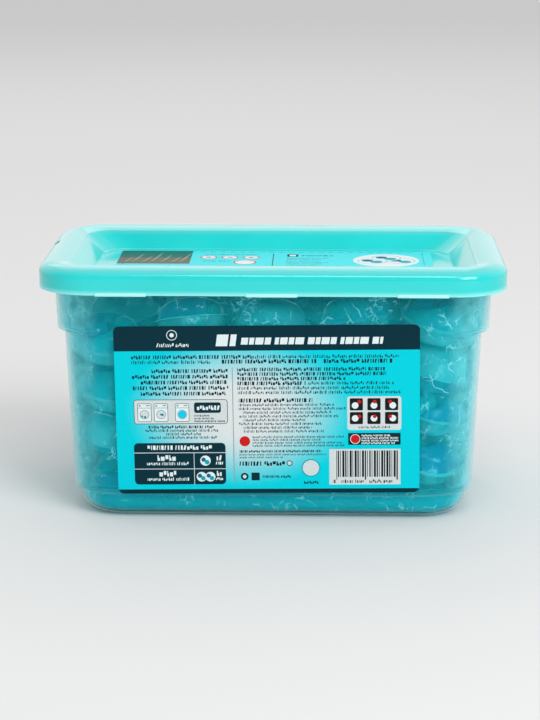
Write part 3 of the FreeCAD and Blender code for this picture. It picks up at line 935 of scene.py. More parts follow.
    def tabs(self, material: bpy.types.Material) -> list[bpy.types.Object]:
        """Return the six snap tabs on the skirt's lower edge."""
        depth = self.wall + self.tab_proud
        middle = self.half_width + self.tab_proud - depth / 2
        height = self.skirt_foot - self.tab_drop + self.tab_height / 2
        return [block(f"snap_tab_{'near' if side < 0 else 'far'}_{number + 2}",
                      Vector((number * self.tab_pitch, side * middle, height)),
                      Vector((self.tab_length, depth, self.tab_height)), self.tab_corner, material,
                      self.tab_rounding)
                for side in (-1, 1) for number in (-1, 0, 1)]

    def build(self) -> bpy.types.Object:
        """Build the lid as one closed shell with its tabs, slot and dips, and dress it."""
        material = self.finish.material()
        loops = [ring.points(*self.steps) for ring in self.outside()]
        under = [ring.points(*self.steps) for ring in self.underside()]
        count = len(loops[0])
        points = [point for loop in loops + under for point in loop]
        faces = skin(loops)[1:]
        first = len(loops) * count
        faces += skin(under, first)[:-1]
        inner = first + (len(under) - 1) * count
        faces += [[inner + i, inner + (i + 1) % count, (i + 1) % count, i] for i in range(count)]
        lid = new_piece("snap_lid", points, faces, [material], sharp=self.sharp)
        cut_away(lid, self.cutters(material))
        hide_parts("lid")
        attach(lid, Body.LID.value)
        for tab in self.tabs(self.tab_finish.material()):
            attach(tab, Body.LID.value)
        return lid


@dataclass(frozen=True)
class Mark:
    """A printed shape: its outline on the label in millimetres, and its ink."""

    outline: tuple[Point, ...]
    ink: Ink


def rounded_box(left: float, top: float, right: float, bottom: float, ink: Ink,
                corner: float = 0.0) -> Mark:
    """Return a rectangle measured from the label's upper left corner, with rounded corners."""
    if not corner:
        return Mark(((left, top), (left, bottom), (right, bottom), (right, top)), ink)
    found, steps = [], 4
    for turn, (x, y) in enumerate(((right - corner, top + corner), (left + corner, top + corner),
                                   (left + corner, bottom - corner), (right - corner, bottom - corner))):
        for step in range(steps + 1):
            angle = math.radians(90 * (turn + step / steps))
            found.append((x + corner * math.cos(angle), y - corner * math.sin(angle)))
    return Mark(tuple(found), ink)


def disc(x: float, y: float, radius: float, ink: Ink, sides: int = 20) -> Mark:
    """Return a round spot, or a shape of few sides."""
    angles = [math.tau * k / sides for k in range(sides)]
    return Mark(tuple((x + radius * math.cos(angle), y - radius * math.sin(angle)) for angle in angles), ink)


def ring_mark(x: float, y: float, radius: float, line: float, ink: Ink, inside: Ink) -> list[Mark]:
    """Return a round line with a field inside it."""
    return [disc(x, y, radius, ink), disc(x, y, radius - line, inside)]


def framed_box(left: float, top: float, right: float, bottom: float, line: float, ink: Ink, inside: Ink,
               corner: float) -> list[Mark]:
    """Return a rounded box with a line round it."""
    return [rounded_box(left, top, right, bottom, ink, corner),
            rounded_box(left + line, top + line, right - line, bottom - line, inside, corner - line)]


class Stroke(Enum):
    """The plain shapes that stand for small print: each value is an outline in a unit square."""

    BLOCK = ((0, 0), (0, 1), (1, 1), (1, 0))
    LOW = ((0, 0.26), (0, 1), (1, 1), (1, 0.26))
    STEM = ((0.25, 0), (0.25, 1), (0.75, 1), (0.75, 0))
    STEP = ((0, 0), (0, 1), (1, 1), (1, 0.45), (0.5, 0.45), (0.5, 0))
    LEAN = ((0.35, 0), (0, 1), (0.65, 1), (1, 0))
    HIGH = ((0, 0), (0, 0.7), (1, 0.7), (1, 0))


def words(left: float, right: float, middle: float, height: float, ink: Ink, bold: bool = False,
          slant: float = 0.0) -> list[Mark]:
    """Return a row of plain strokes in groups, which stands for a line of small print.

    Args:
        left: Where the line starts.
        right: Where the line ends.
        middle: Height of the line's middle below the label's top.
        height: Height of the tallest strokes.
        ink: The ink.
        bold: Whether the strokes are wide and equally tall.
        slant: How far a stroke leans over its height.

    Returns:
        The marks.
    """
    wide, gap = (0.42, 0.15 * height) if bold else (0.28, 0.18 * height)
    narrowest, spread = 0.7 * wide * height, 0.9 * wide * height
    tall_share, lower, group_gap = 0.35, 0.8, 0.4 * height
    shortest_group, longer_by = 5, 9
    shapes = list(Stroke)
    # Where a line stands settles how its pattern starts, so that no two lines look alike.
    found, across, count, strokes = [], left, int(left * 7 + middle * 13), 0
    while across + wide * height <= right + gap:
        count += 1
        width = narrowest + spread * ((count * GOLDEN) % 1)
        tall = height * (1.0 if bold or (count * GOLDEN ** 2) % 1 < tall_share else lower)
        foot = middle + height / 2
        shape = shapes[int(len(shapes) * ((count * GOLDEN ** 3 * 7) % 1))]
        found.append(Mark(tuple((across + x * width + slant * (1 - y), foot - tall * (1 - y))
                                for x, y in shape.value), ink))
        across += width + gap
        strokes += 1
        if strokes > shortest_group + longer_by * ((count * GOLDEN ** 4 * 5) % 1):
            across, strokes = across + group_gap, 0
    return found


def bars(left: float, right: float, middle: float, height: float, ink: Ink, slant: float) -> list[Mark]:
    """Return a row of thick leaning bars of uneven lengths, which stands for a title."""
    shortest, spread, gap, group_gap, group, least_room = 0.5, 0.75, 0.18, 0.55, 4, 0.3
    found, across, count = [], left, 0
    while across < right - least_room * height:
        count += 1
        width = min(height * (shortest + spread * ((count * GOLDEN) % 1)), right - across)
        found.append(Mark(tuple((across + x * width + slant * (1 - y), middle + height * (y - 0.5))
                                for x, y in Stroke.BLOCK.value), ink))
        across += width + height * (group_gap if count % group == 0 else gap)
    return found


def dashes(left: float, top: float, right: float, bottom: float, line: float, ink: Ink,
           dash: float = 2.6, gap: float = 1.7) -> list[Mark]:
    """Return a dashed frame."""
    pitch, upright = dash + gap, 0.6 * dash
    found = []
    for level in (top, bottom):
        found += [rounded_box(left + pitch * k, level, left + pitch * k + dash, level + line, ink)
                  for k in range(int((right - left) / pitch))]
    for side in (left - gap, right):
        found += [rounded_box(side, top + gap + pitch * k, side + line, top + gap + pitch * k + upright, ink)
                  for k in range(int((bottom - top - gap) / pitch))]
    return found


def pod_icon(x: float, y: float, radius: float) -> list[Mark]:
    """Return a small pod: a pale round pouch with a blue and a teal spot."""
    return [disc(x, y, radius, Ink.WHITE),
            disc(x - 0.35 * radius, y - 0.2 * radius, 0.42 * radius, Ink.BLUE),
            disc(x + 0.3 * radius, y + 0.3 * radius, 0.45 * radius, Ink.TEAL)]


def info_marks() -> list[Mark]:
    """Return the print of the information label, from its upper left corner down."""
    dark, text = Ink.NAVY, Ink.TEXT
    found = [rounded_box(-1, -1, 126, 10.6, dark), rounded_box(-1, 70.0, 126, 73, dark)]
    found += ring_mark(23.8, 3.9, 2.2, 0.28, Ink.WHITE, dark) + [disc(23.8, 3.9, 0.9, Ink.WHITE)]
    found += words(17.4, 30.4, 8.1, 1.6, Ink.WHITE, slant=0.3)
    found += bars(41.6, 49.6, 6.2, 4.9, Ink.WHITE, 0.7)
    found += bars(51.8, 109.4, 6.6, 2.9, Ink.WHITE, 0.45)
    found += words(7.0, 57.0, 13.2, 1.6, text, True) + words(57.6, 117.0, 13.2, 1.5, text)
    found += words(6.9, 39.3, 15.3, 1.5, text)
    found += words(44.0, 82.6, 15.2, 1.7, Ink.DARK, True) + words(85.5, 112.9, 15.2, 1.7, Ink.DARK, True)
    for row, start in enumerate((15.2, 7.1, 10.6, 7.3, 10.5)):
        found += words(start, 46.5, 19.1 + 2.4 * row, 1.6, Ink.NAVY, True)
    found.append(rounded_box(48.0, 17.8, 48.35, 67.2, Ink.GREY))
    for row, end in enumerate((110.4, 111.6, 94.1)):
        found += words(50.2, end, 18.6 + 1.97 * row, 1.5, text, True)
    found += words(50.2, 78.5, 24.5, 1.6, Ink.DARK, True) + words(79.2, 113.8, 24.5, 1.4, text)
    found += words(50.2, 111.7, 26.5, 1.4, text) + words(50.2, 117.0, 28.4, 1.4, text)
    found += washing_panel() + dose_table() + right_block()
    return found


def washing_panel() -> list[Mark]:
    """Return the pale panel with three machine pictures, and the centred lines under it."""
    found = framed_box(7.4, 31.2, 46.0, 41.7, 0.25, Ink.NAVY, Ink.PALE, 1.2)
    for number, left in enumerate((8.9, 15.7, 24.4)):
        right, middle = left + 5.8, left + 2.9
        found += framed_box(left, 32.8, right, 40.7, 0.2, Ink.NAVY, Ink.WHITE, 0.6)
        found.append(rounded_box(left + 0.2, 34.7, right - 0.2, 34.85, Ink.NAVY))
        found += [disc(left + 1.0, 33.8, 0.45, Ink.GREY, 10),
                  rounded_box(right - 2.2, 33.5, right - 0.7, 34.0, Ink.GREY)]
        found += ring_mark(middle, 37.6, 1.95, 0.3, Ink.GREY, Ink.CYAN if number == 2 else Ink.PALE)
        if number < 2:
            found += [disc(middle - 1.0 + number, 38.4 - number * 0.8, 0.5, Ink.TEAL, 10),
                      disc(middle + 0.2 + number * 0.4, 38.7 - number, 0.5, Ink.BLUE, 10)]
    found.append(rounded_box(32.2, 32.5, 43.2, 37.0, Ink.NAVY, 0.9))
    found += words(33.4, 42.2, 34.8, 1.9, Ink.WHITE, True)
    for row, end in enumerate((38.8, 40.4, 45.0)):
        found += words(32.2, end, 38.2 + 1.2 * row, 0.75, Ink.TEXT, True)
    for row, (start, end) in enumerate(((13.3, 40.4), (11.9, 42.0), (20.4, 34.9), (13.5, 40.9))):
        found += words(start, end, 43.0 + 1.5 * row, 1.2, Ink.TEXT, row == 0)
    return found


def dose_table() -> list[Mark]:
    """Return the dark table with its pale lines, strokes and pods."""
    found = [rounded_box(7.0, 49.9, 44.8, 67.9, Ink.NAVY, 1.7)]
    found += [rounded_box(7.0, 54.0, 44.8, 54.3, Ink.PALE), rounded_box(7.0, 61.0, 44.8, 61.3, Ink.PALE),
              rounded_box(31.6, 54.3, 31.85, 67.9, Ink.PALE)]
    found += words(12.6, 39.4, 51.9, 1.9, Ink.WHITE, True)
    for top, start, end in ((56.4, 16.6, 24.8), (63.2, 17.2, 24.6)):
        found += words(start, end, top, 2.4, Ink.WHITE, True)
        found += words(12.2, 29.6, top + 2.4, 1.4, Ink.WHITE)
        found += words(41.0, 43.2, top, 2.2, Ink.WHITE, True)
        found += words(40.6, 43.6, top + 2.3, 1.2, Ink.WHITE, True)
    return found + pod_icon(36.4, 57.6, 2.2) + pod_icon(34.7, 64.6, 2.1) + pod_icon(38.3, 64.6, 2.1)


def right_block() -> list[Mark]:
    """Return the right half's small print, picture squares, dark strip, spot and striped field."""
    text = Ink.TEXT
    found = words(50.5, 80.8, 31.8, 1.7, Ink.DARK, True)
    for row, end in enumerate((89.6, 94.0, 88.5, 91.0, 77.8, 84.4, 80.5, 85.1)):
        found += words(50.6 if row in (0, 1, 3, 5) else 52.4, end, 33.7 + 1.62 * row, 1.15, text)
    found += [disc(52.8, 49.3, 2.2, Ink.RED)]
    for row, end in enumerate((93.6, 84.0, 92.5, 94.0)):
        found += words(56.0, end, 47.5 + 1.25 * row, 0.95, text)
    found += words(50.5, 84.6, 53.7, 1.0, Ink.DARK, True) + words(50.5, 86.0, 55.1, 0.8, text)
    found += words(50.5, 68.4, 56.3, 0.8, text) + words(50.4, 68.7, 59.0, 1.9, Ink.DARK, True)
    found += ring_mark(71.1, 58.9, 1.2, 0.35, Ink.NAVY, Ink.PALE)
    found += ring_mark(52.5, 64.6, 1.6, 0.8, Ink.NAVY, Ink.PALE)
    found += [rounded_box(55.3, 62.9, 58.7, 66.3, Ink.NAVY, 0.3)] + words(59.9, 71.5, 64.7, 1.1, text, True)
    found += ring_mark(79.9, 61.0, 3.9, 0.5, Ink.TEAL, Ink.PALE) + words(77.0, 82.9, 67.3, 1.3, text, True)
    found += [rounded_box(95.0, 30.3, 117.1, 44.7, Ink.PALE, 1.0)]
    for row, top in enumerate((31.1, 37.0)):
        for column, left in enumerate((96.0, 103.2, 110.4)):
            found.append(rounded_box(left, top, left + 5.4, top + 5.2, Ink.DARK, 0.5))
            found.append(disc(left + 2.2 + 0.5 * column, top + 3.1 - 0.4 * row, 1.4, Ink.WHITE, 12))
            found.append(disc(left + 3.9 - 0.9 * column, top + 1.5 + 0.4 * row, 0.8, Ink.RED, 10))
    found += words(99.6, 112.2, 43.5, 1.0, text)
    found += [rounded_box(95.3, 46.0, 116.8, 51.1, Ink.NAVY, 0.2)]
    found += [disc(98.2, 48.6, 2.1, Ink.WHITE), disc(98.2, 48.6, 1.85, Ink.RED)]
    for row, end in enumerate((112.6, 115.8, 116.2, 114.4)):
        found += words(100.8, end, 47.1 + 1.1 * row, 0.8, Ink.WHITE, True)
    return found + striped_field()


def striped_field() -> list[Mark]:
    """Return the pale field with its upright stripes of uneven width, coarser than real ones."""
    widths, gaps = (0.28, 0.55, 0.85), (0.3, 0.42, 0.62)
    across, top, foot, long_foot, stripes, long_ones = 90.4, 53.6, 65.0, 66.2, 26, (0, 12, 25)
    found = [rounded_box(87.5, 52.9, 116.8, 68.3, Ink.PALE)]
    for number in range(stripes):
        width = widths[int(len(widths) * ((number * GOLDEN) % 1))]
        found.append(rounded_box(across, top, across + width, long_foot if number in long_ones else foot,
                                 Ink.DARK))
        across += width + gaps[int(len(gaps) * ((number * GOLDEN ** 2) % 1))]
    for start, end in ((88.8, 90.0), (92.4, 101.6), (104.0, 113.6)):
        found += words(start, end, 66.9, 1.5, Ink.DARK)
    return found


def front_marks() -> list[Mark]:
    """Return a plain generic print for the label on the far side."""
    found = [rounded_box(-1, -1, 126, 10.6, Ink.NAVY), rounded_box(-1, 70.0, 126, 73, Ink.NAVY)]
    found += bars(34.0, 90.0, 5.6, 3.2, Ink.WHITE, 0.5)
    found += [disc(62.3, 40.0, 22.0, Ink.WHITE, 48), disc(62.3, 40.0, 20.8, Ink.CYAN, 48)]
    for x, y in ((50.5, 44.5), (62.3, 34.5), (74.1, 44.5)):
        found += pod_icon(x, y, 6.6)
    for side, inwards in ((16.0, 4.0), (108.6, -4.0)):
        for row, radius in enumerate((3.6, 2.4, 1.5)):
            found += ring_mark(side + inwards * row, 58 - 12 * row, radius, 0.35, Ink.WHITE, Ink.TEAL)
    return found + words(42.0, 82.6, 66.2, 1.8, Ink.NAVY, True)


def grass_blade(start: float, height: float) -> Mark:
    """Return one thin bent blade of grass that leans to the right."""
    foot, lean, bend, thickness, steps = 27.5, 4.6, 2.2, 0.35, ARC_STEPS
    outline = []
    for side, walk in ((-1, range(steps + 1)), (1, range(steps - 1, 0, -1))):
        for k in walk:
            belly = math.sin(math.pi * k / steps)
            outline.append((start + lean * k / steps + thickness * side * belly,
                            foot - height * k / steps + bend * belly))
    return Mark(tuple(outline), Ink.STRAW)


def lid_marks() -> list[Mark]:
    """Return the print of the label in the lid's recess, from its far left corner towards the front."""
    found = [rounded_box(-1, 1.0, 31.0, 30.6, Ink.MOSS), rounded_box(-1, 16.5, 31.0, 30.6, Ink.EARTH)]
    found += [grass_blade(1.5 + 4.1 * number, 12.0 + 14.4 * ((number * GOLDEN) % 1)) for number in range(7)]
    found += dashes(4.0, 2.6, 130.8, 58.0, 0.5, Ink.NAVY)
    found += words(37.0, 60.0, 9.0, 1.2, Ink.TEXT)
    for number in range(3):
        middle = 38.5 + 9.2 * number
        found += ring_mark(middle, 15.5, 3.7, 0.6, Ink.RED, Ink.WHITE)
        found.append(disc(middle, 15.5, 1.2, Ink.GREY, 10))
    found += words(36.0, 48.0, 24.0, 1.6, Ink.TEXT) + ring_mark(54.5, 26.5, 5.0, 0.7, Ink.RED, Ink.WHITE)
    found.append(rounded_box(66.2, 7.0, 66.6, 53.0, Ink.TEXT))
    found += [rounded_box(72.4, 8.0, 77.2, 13.6, Ink.NAVY, 0.8),
              rounded_box(73.4, 9.2, 76.2, 12.4, Ink.WHITE, 0.5)]
    found += words(78.6, 93.0, 11.0, 2.0, Ink.NAVY, True)
    for row in range(7):
        found += words(72.4, 90.0 - 2.2 * (row % 3), 17.0 + 3.1 * row, 1.2, Ink.TEXT)
    found.append(disc(115.0, 21.0, 14.2, Ink.WHITE, 40))
    for x, y in ((109.0, 22.5), (121.2, 22.0), (115.2, 15.6)):
        found += [disc(x, y, 6.3, Ink.GREY, 28)] + pod_icon(x, y, 6.0)
    found += words(36.0, 62.0, 36.0, 2.0, Ink.NAVY, True)
    for row in range(5):
        found += words(36.0, 62.0 - 4.0 * (row % 2), 40.5 + 3.0 * row, 1.2, Ink.TEXT)
    found.append(rounded_box(100.0, 42.0, 128.0, 50.0, Ink.NAVY, 1.5))
    return found + bars(103.0, 125.0, 46.0, 2.6, Ink.WHITE, 0.4)


@dataclass
class PrintedLabel:
    """A label of printed film: one thin closed sheet, whose face is cut into fields of ink."""

    name: str
    node: str
    slot: str
    body: Body
    length: float
    height: float
    place: Matrix
    ground: PrintedFilm
    marks: list[Mark]
    corner: float = 2.4
    thickness: float = 0.15

    def face(self) -> tuple[list[Vector], list[list[int]], list[Ink | None]]:
        """Cut the label's face along every mark.

        Returns:
            The points, the triangles, and each triangle's ink, or None for the ground.
        """
        outlines = [rounded_box(0, 0, self.length, self.height, Ink.PALE, self.corner).outline]
        outlines += [mark.outline for mark in self.marks]
        points, loops = [], []
        for outline in outlines:
            corners = [Vector((x - self.length / 2, self.height / 2 - y)) for x, y in outline]
            if sum(a.cross(b) for a, b in zip(corners, corners[1:] + corners[:1])) < 0:
                corners.reverse()
            loops.append(list(range(len(points), len(points) + len(corners))))
            points += corners
        cut = delaunay_2d_cdt(points, [], loops, 1, CUT_TOLERANCE)
        flat, triangles, sources = cut[0], cut[2], cut[5]
        kept = [(triangle, max(source)) for triangle, source in zip(triangles, sources) if 0 in source]
        used = sorted({number for triangle, _ in kept for number in triangle})
        order = {number: place for place, number in enumerate(used)}
        return ([Vector((flat[number].x, flat[number].y, self.thickness)) for number in used],
                [[order[number] for number in triangle] for triangle, _ in kept],
                [None if top == 0 else self.marks[top - 1].ink for _, top in kept])

    def build(self, inks: dict[Ink, bpy.types.Material]) -> bpy.types.Object:
        """Build the sheet, with its edge and back in the ground's colour.

        Args:
            inks: The material of each ink.

        Returns:
            The label.
        """
        points, faces, colours = self.face()
        sides: dict[tuple[int, int], int] = {}
        for triangle in faces:
            for start, end in zip(triangle, triangle[1:] + triangle[:1]):
                sides[start, end] = sides.get((start, end), 0) + 1
        rim = {start: end for start, end in sides if (end, start) not in sides}
        loop = [next(iter(rim))]
        while rim[loop[-1]] != loop[0]:
            loop.append(rim[loop[-1]])
        back = {number: len(points) + place for place, number in enumerate(loop)}
        points += [Vector((points[number].x, points[number].y, 0)) for number in loop]
        faces += [[end, start, back[start], back[end]] for start, end in zip(loop, loop[1:] + loop[:1])]
        faces.append([back[number] for number in reversed(loop)])
        used = sorted({ink for ink in colours if ink}, key=lambda ink: ink.name)
        kinds = [used.index(ink) + 1 if ink else 0 for ink in colours]
        kinds += [0] * (len(faces) - len(kinds))
        label = new_piece(self.name, points, faces, [self.ground.material(), *(inks[ink] for ink in used)],
                          kinds)
        label.data.transform(self.place)
        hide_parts(self.node)
        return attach(label, self.body.value)


def side_place(side: int, across: float, turn: float, tub: Tub, middle: float) -> Matrix:
    """Return where a side label lies on the tub's leaning wall.

    Args:
        side: -1 for the near wall, 1 for the far one.
        across: Its shift along X.
        turn: How far it is askew, in degrees.
        tub: The tub that carries it.
        middle: Height of its middle.

    Returns:
        The label's placement in metres.
    """
    wall = tub.outline("body", middle).half_width
    facing = 0 if side < 0 else math.pi
    return (Matrix.Translation(Vector((across, side * wall, middle)) * MM) @ Matrix.Rotation(facing, 4, "Z")
            @ Matrix.Rotation(math.pi / 2 + math.atan(tub.draft), 4, "X")
            @ Matrix.Rotation(math.radians(turn), 4, "Z"))


@dataclass
class PodFill:
    """The pods: pale pillows with a film edge and two coloured lobes, seated as the part's pods are."""

    half_size: float = 14.15
    edge_half_size: float = 15.75
    squareness: float = 2.33
    edge_thickness: float = 0.8
    base_depth: float = 10.0
    lobe_height: float = 9.2
    seam_shoulder: float = 5.2
    grid: float = 0.95
    row_share: float = 0.866
    grid_reach: float = 1.2
    seam_room: float = 0.5
    edge_room: float = 0.95
    rim_points: int = 96
    seam_steps: int = 22
    seam_rise: float = 0.08
    seam_power: float = 2.4
    swell_power: float = 3.0
    inner_gap: float = 0.2
    puckers: float = 26.0
    pucker_play: float = 3.0
    pucker_scale: float = 0.3
    pucker_level: float = 3.0
    pucker_depth: float = 0.03
    edge_waves: int = 7
    edge_wave: float = 0.25
    edge_taper: float = 0.6
    edge_inset: float = 0.05
    sharp: float = 70.0
    columns: int = 5
    rows: int = 2
    lean_least: float = 8.0
    lean_most: float = 19.0
    lean_play: float = 4.0
    turn_play: float = 40.0
    upside_down_every: int = 3
    base: GelPouch = GelPouch("pale_gel_pouch", "#98EBEE", "#58D9E0")
    teal: GelPouch = GelPouch("teal_gel_pouch", "#00D2DA", "#00B9C6")
    blue: GelPouch = GelPouch("blue_gel_pouch", "#00A8D2", "#008FBC")
    film: GelPouch = GelPouch("film_edge", "#9FE9EC", "#79DFE4")

    def rim(self, angle: float, half: float) -> Vector:
        """Return the point of a pod's softly squared outline at an angle."""
        power = self.squareness
        reach = half / (abs(math.cos(angle)) ** power + abs(math.sin(angle)) ** power) ** (1 / power)
        return Vector((reach * math.cos(angle), reach * math.sin(angle)))

    def seam(self) -> list[Vector]:
        """Return the S-shaped line between the two lobes."""
        radius, steps = self.half_size / 2, self.seam_steps
        found = [Vector((-radius + radius * math.cos(a), radius * math.sin(a)))
                 for a in (math.pi + math.pi * k / steps for k in range(steps + 1))]
        found += [Vector((radius + radius * math.cos(a), radius * math.sin(a)))
                  for a in (math.pi - math.pi * k / steps for k in range(1, steps + 1))]
        return found

    def is_upper_lobe(self, point: Vector) -> bool:
        """Tell whether a point lies in the lobe on the far side of the seam."""
        radius = self.half_size / 2
        if (point - Vector((-radius, 0))).length < radius:
            return True
        if (point - Vector((radius, 0))).length < radius:
            return False
        return point.y > 0

    def share(self, point: Vector) -> float:
        """Return how far out a point lies: 0 in the middle and 1 on the outline."""
        power = self.squareness
        return min(1.0, (abs(point.x) ** power + abs(point.y) ** power) ** (1 / power) / self.half_size)

    def swell(self, point: Vector) -> float:
        """Return the pillow's height share over a point, with small puckers near its edge."""
        share = self.share(point)
        play = self.pucker_play * noise.noise(Vector((*point, self.pucker_level)) * self.pucker_scale)
        pucker = math.sin(self.puckers * math.atan2(point.y, point.x) + play)
        outer = share ** self.swell_power
        return (1 - outer) ** 0.5 * (1 - self.pucker_depth * (1 + pucker) * outer)

    def plan(self) -> tuple[list[Vector], list[list[int]]]:
        """Cut the pod's plan into triangles that follow its outline and seam."""
        edge = [self.rim(math.tau * k / self.rim_points, self.half_size)
                for k in range(self.rim_points)]
        seam = self.seam()[1:-1]
        points = edge + seam
        lines = [(len(edge) + k, len(edge) + k + 1) for k in range(len(seam) - 1)]
        rows = int(self.half_size * self.grid_reach / (self.grid * self.row_share))
        for row in range(-rows, rows + 1):
            for column in range(-rows, rows + 1):
                point = Vector(((column + 0.5 * (row % 2)) * self.grid,
                                row * self.grid * self.row_share))
                if (self.share(point) < self.edge_room
                        and min((point - other).length for other in seam) > self.seam_room):
                    points.append(point)
        cut = delaunay_2d_cdt(points, lines, [list(range(len(edge)))], 1, CUT_TOLERANCE / 10)
        return cut[0], cut[2]

    def mesh(self) -> bpy.types.Mesh:
        """Build one pod's closed mesh, with its own colours for base, film and lobes."""
        flat, triangles = self.plan()
        seam = self.seam()
        half_edge = self.edge_thickness / 2
        upper, lower, kinds, faces = [], [], [], []
        for point in flat:
            depth = min((point - other).length for other in seam) / self.seam_shoulder
            shoulder = math.sqrt(max(0.0, 1 - (1 - min(depth, 1.0)) ** self.seam_power))
            swell = self.swell(point)
            rise = (self.lobe_height - half_edge - self.inner_gap) * swell * (
                self.seam_rise + (1 - self.seam_rise) * shoulder)
            fall = (self.base_depth - half_edge - self.inner_gap) * swell
            upper.append(Vector((point.x, point.y, half_edge + rise)))
            lower.append(Vector((point.x, point.y, -half_edge - fall)))
        count = len(flat)
        for a, b, c in triangles:
            middle = (flat[a] + flat[b] + flat[c]) / 3
            faces.append([a, b, c])
            kinds.append(1 if self.is_upper_lobe(middle) else 2)
            faces.append([count + c, count + b, count + a])
            kinds.append(0)
        sides = {side: None for triangle in triangles
                 for side in zip(triangle, triangle[1:] + triangle[:1])}
        border = [(start, end) for start, end in sides if (end, start) not in sides]
        points = upper + lower
        outer = {}
        for start, _ in border:
            angle = math.atan2(flat[start].y, flat[start].x)
            wave = self.edge_wave * math.sin(self.edge_waves * angle) * half_edge
            rim = self.rim(angle, self.edge_half_size - self.edge_inset)
            outer[start] = len(points)
            points += [Vector((rim.x, rim.y, side * self.edge_taper * half_edge + wave)) for side in (1, -1)]
        for start, end in border:
            high_start, high_end = outer[start], outer[end]
            faces += [[end, start, high_start, high_end],
                      [high_end, high_start, high_start + 1, high_end + 1],
                      [high_end + 1, high_start + 1, count + start, count + end]]
            kinds += [3, 3, 3]
        materials = [finish.material() for finish in (self.base, self.teal, self.blue, self.film)]
        made = new_piece("pod_pattern", points, faces, materials, kinds, sharp=self.sharp)
        mesh = made.data
        bpy.data.objects.remove(made)
        return mesh

    def turn(self, number: int) -> Matrix:
        """Return how a pod is turned: each stack leans its own way, and its pods differ a little.

        Args:
            number: The pod's number, from 0, layer by layer.

        Returns:
            The rotation.
        """
        def fraction(count: float, step: float) -> float:
            """Return a number between 0 and 1 that looks random and is the same in each run."""
            return (count * step) % 1

        stack = number % (self.columns * self.rows)
        lean = (self.lean_least + (self.lean_most - self.lean_least) * fraction(stack + 1, GOLDEN)
                + self.lean_play * (fraction(number, GOLDEN) - 0.5))
        towards = math.radians(360 * fraction(stack, 1 - GOLDEN ** 3)
                               + self.turn_play * fraction(number, GOLDEN ** 2))
        over = math.pi * (number % self.upside_down_every == 1)
        axis = Vector((math.cos(towards), math.sin(towards), 0))
        return (Matrix.Rotation(math.radians(lean), 4, axis) @ Matrix.Rotation(over, 4, "X")
                @ Matrix.Rotation(math.tau * fraction(number, GOLDEN), 4, "Z"))

    def build(self) -> list[bpy.types.Object]:
        """Seat a pod in the place of each pod of the part."""
        mesh = self.mesh()
        nodes = sorted(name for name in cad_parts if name.startswith("pod_"))
        pods = []
        for number, node in enumerate(nodes):
            turn = self.turn(number)
            turned = [turn @ vertex.co for vertex in mesh.vertices]
            low = Vector(min(point[axis] for point in turned) for axis in range(3))
            high = Vector(max(point[axis] for point in turned) for axis in range(3))
            node_low, node_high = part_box(node)
            pod = bpy.data.objects.new(f"gel_{node}", mesh)
            bpy.context.scene.collection.objects.link(pod)
            pod.matrix_world = Matrix.Translation((node_low + node_high - low - high) / 2) @ turn
            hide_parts(node)
            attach(pod, Body.TUB.value)
            pods.append(pod)
        return pods


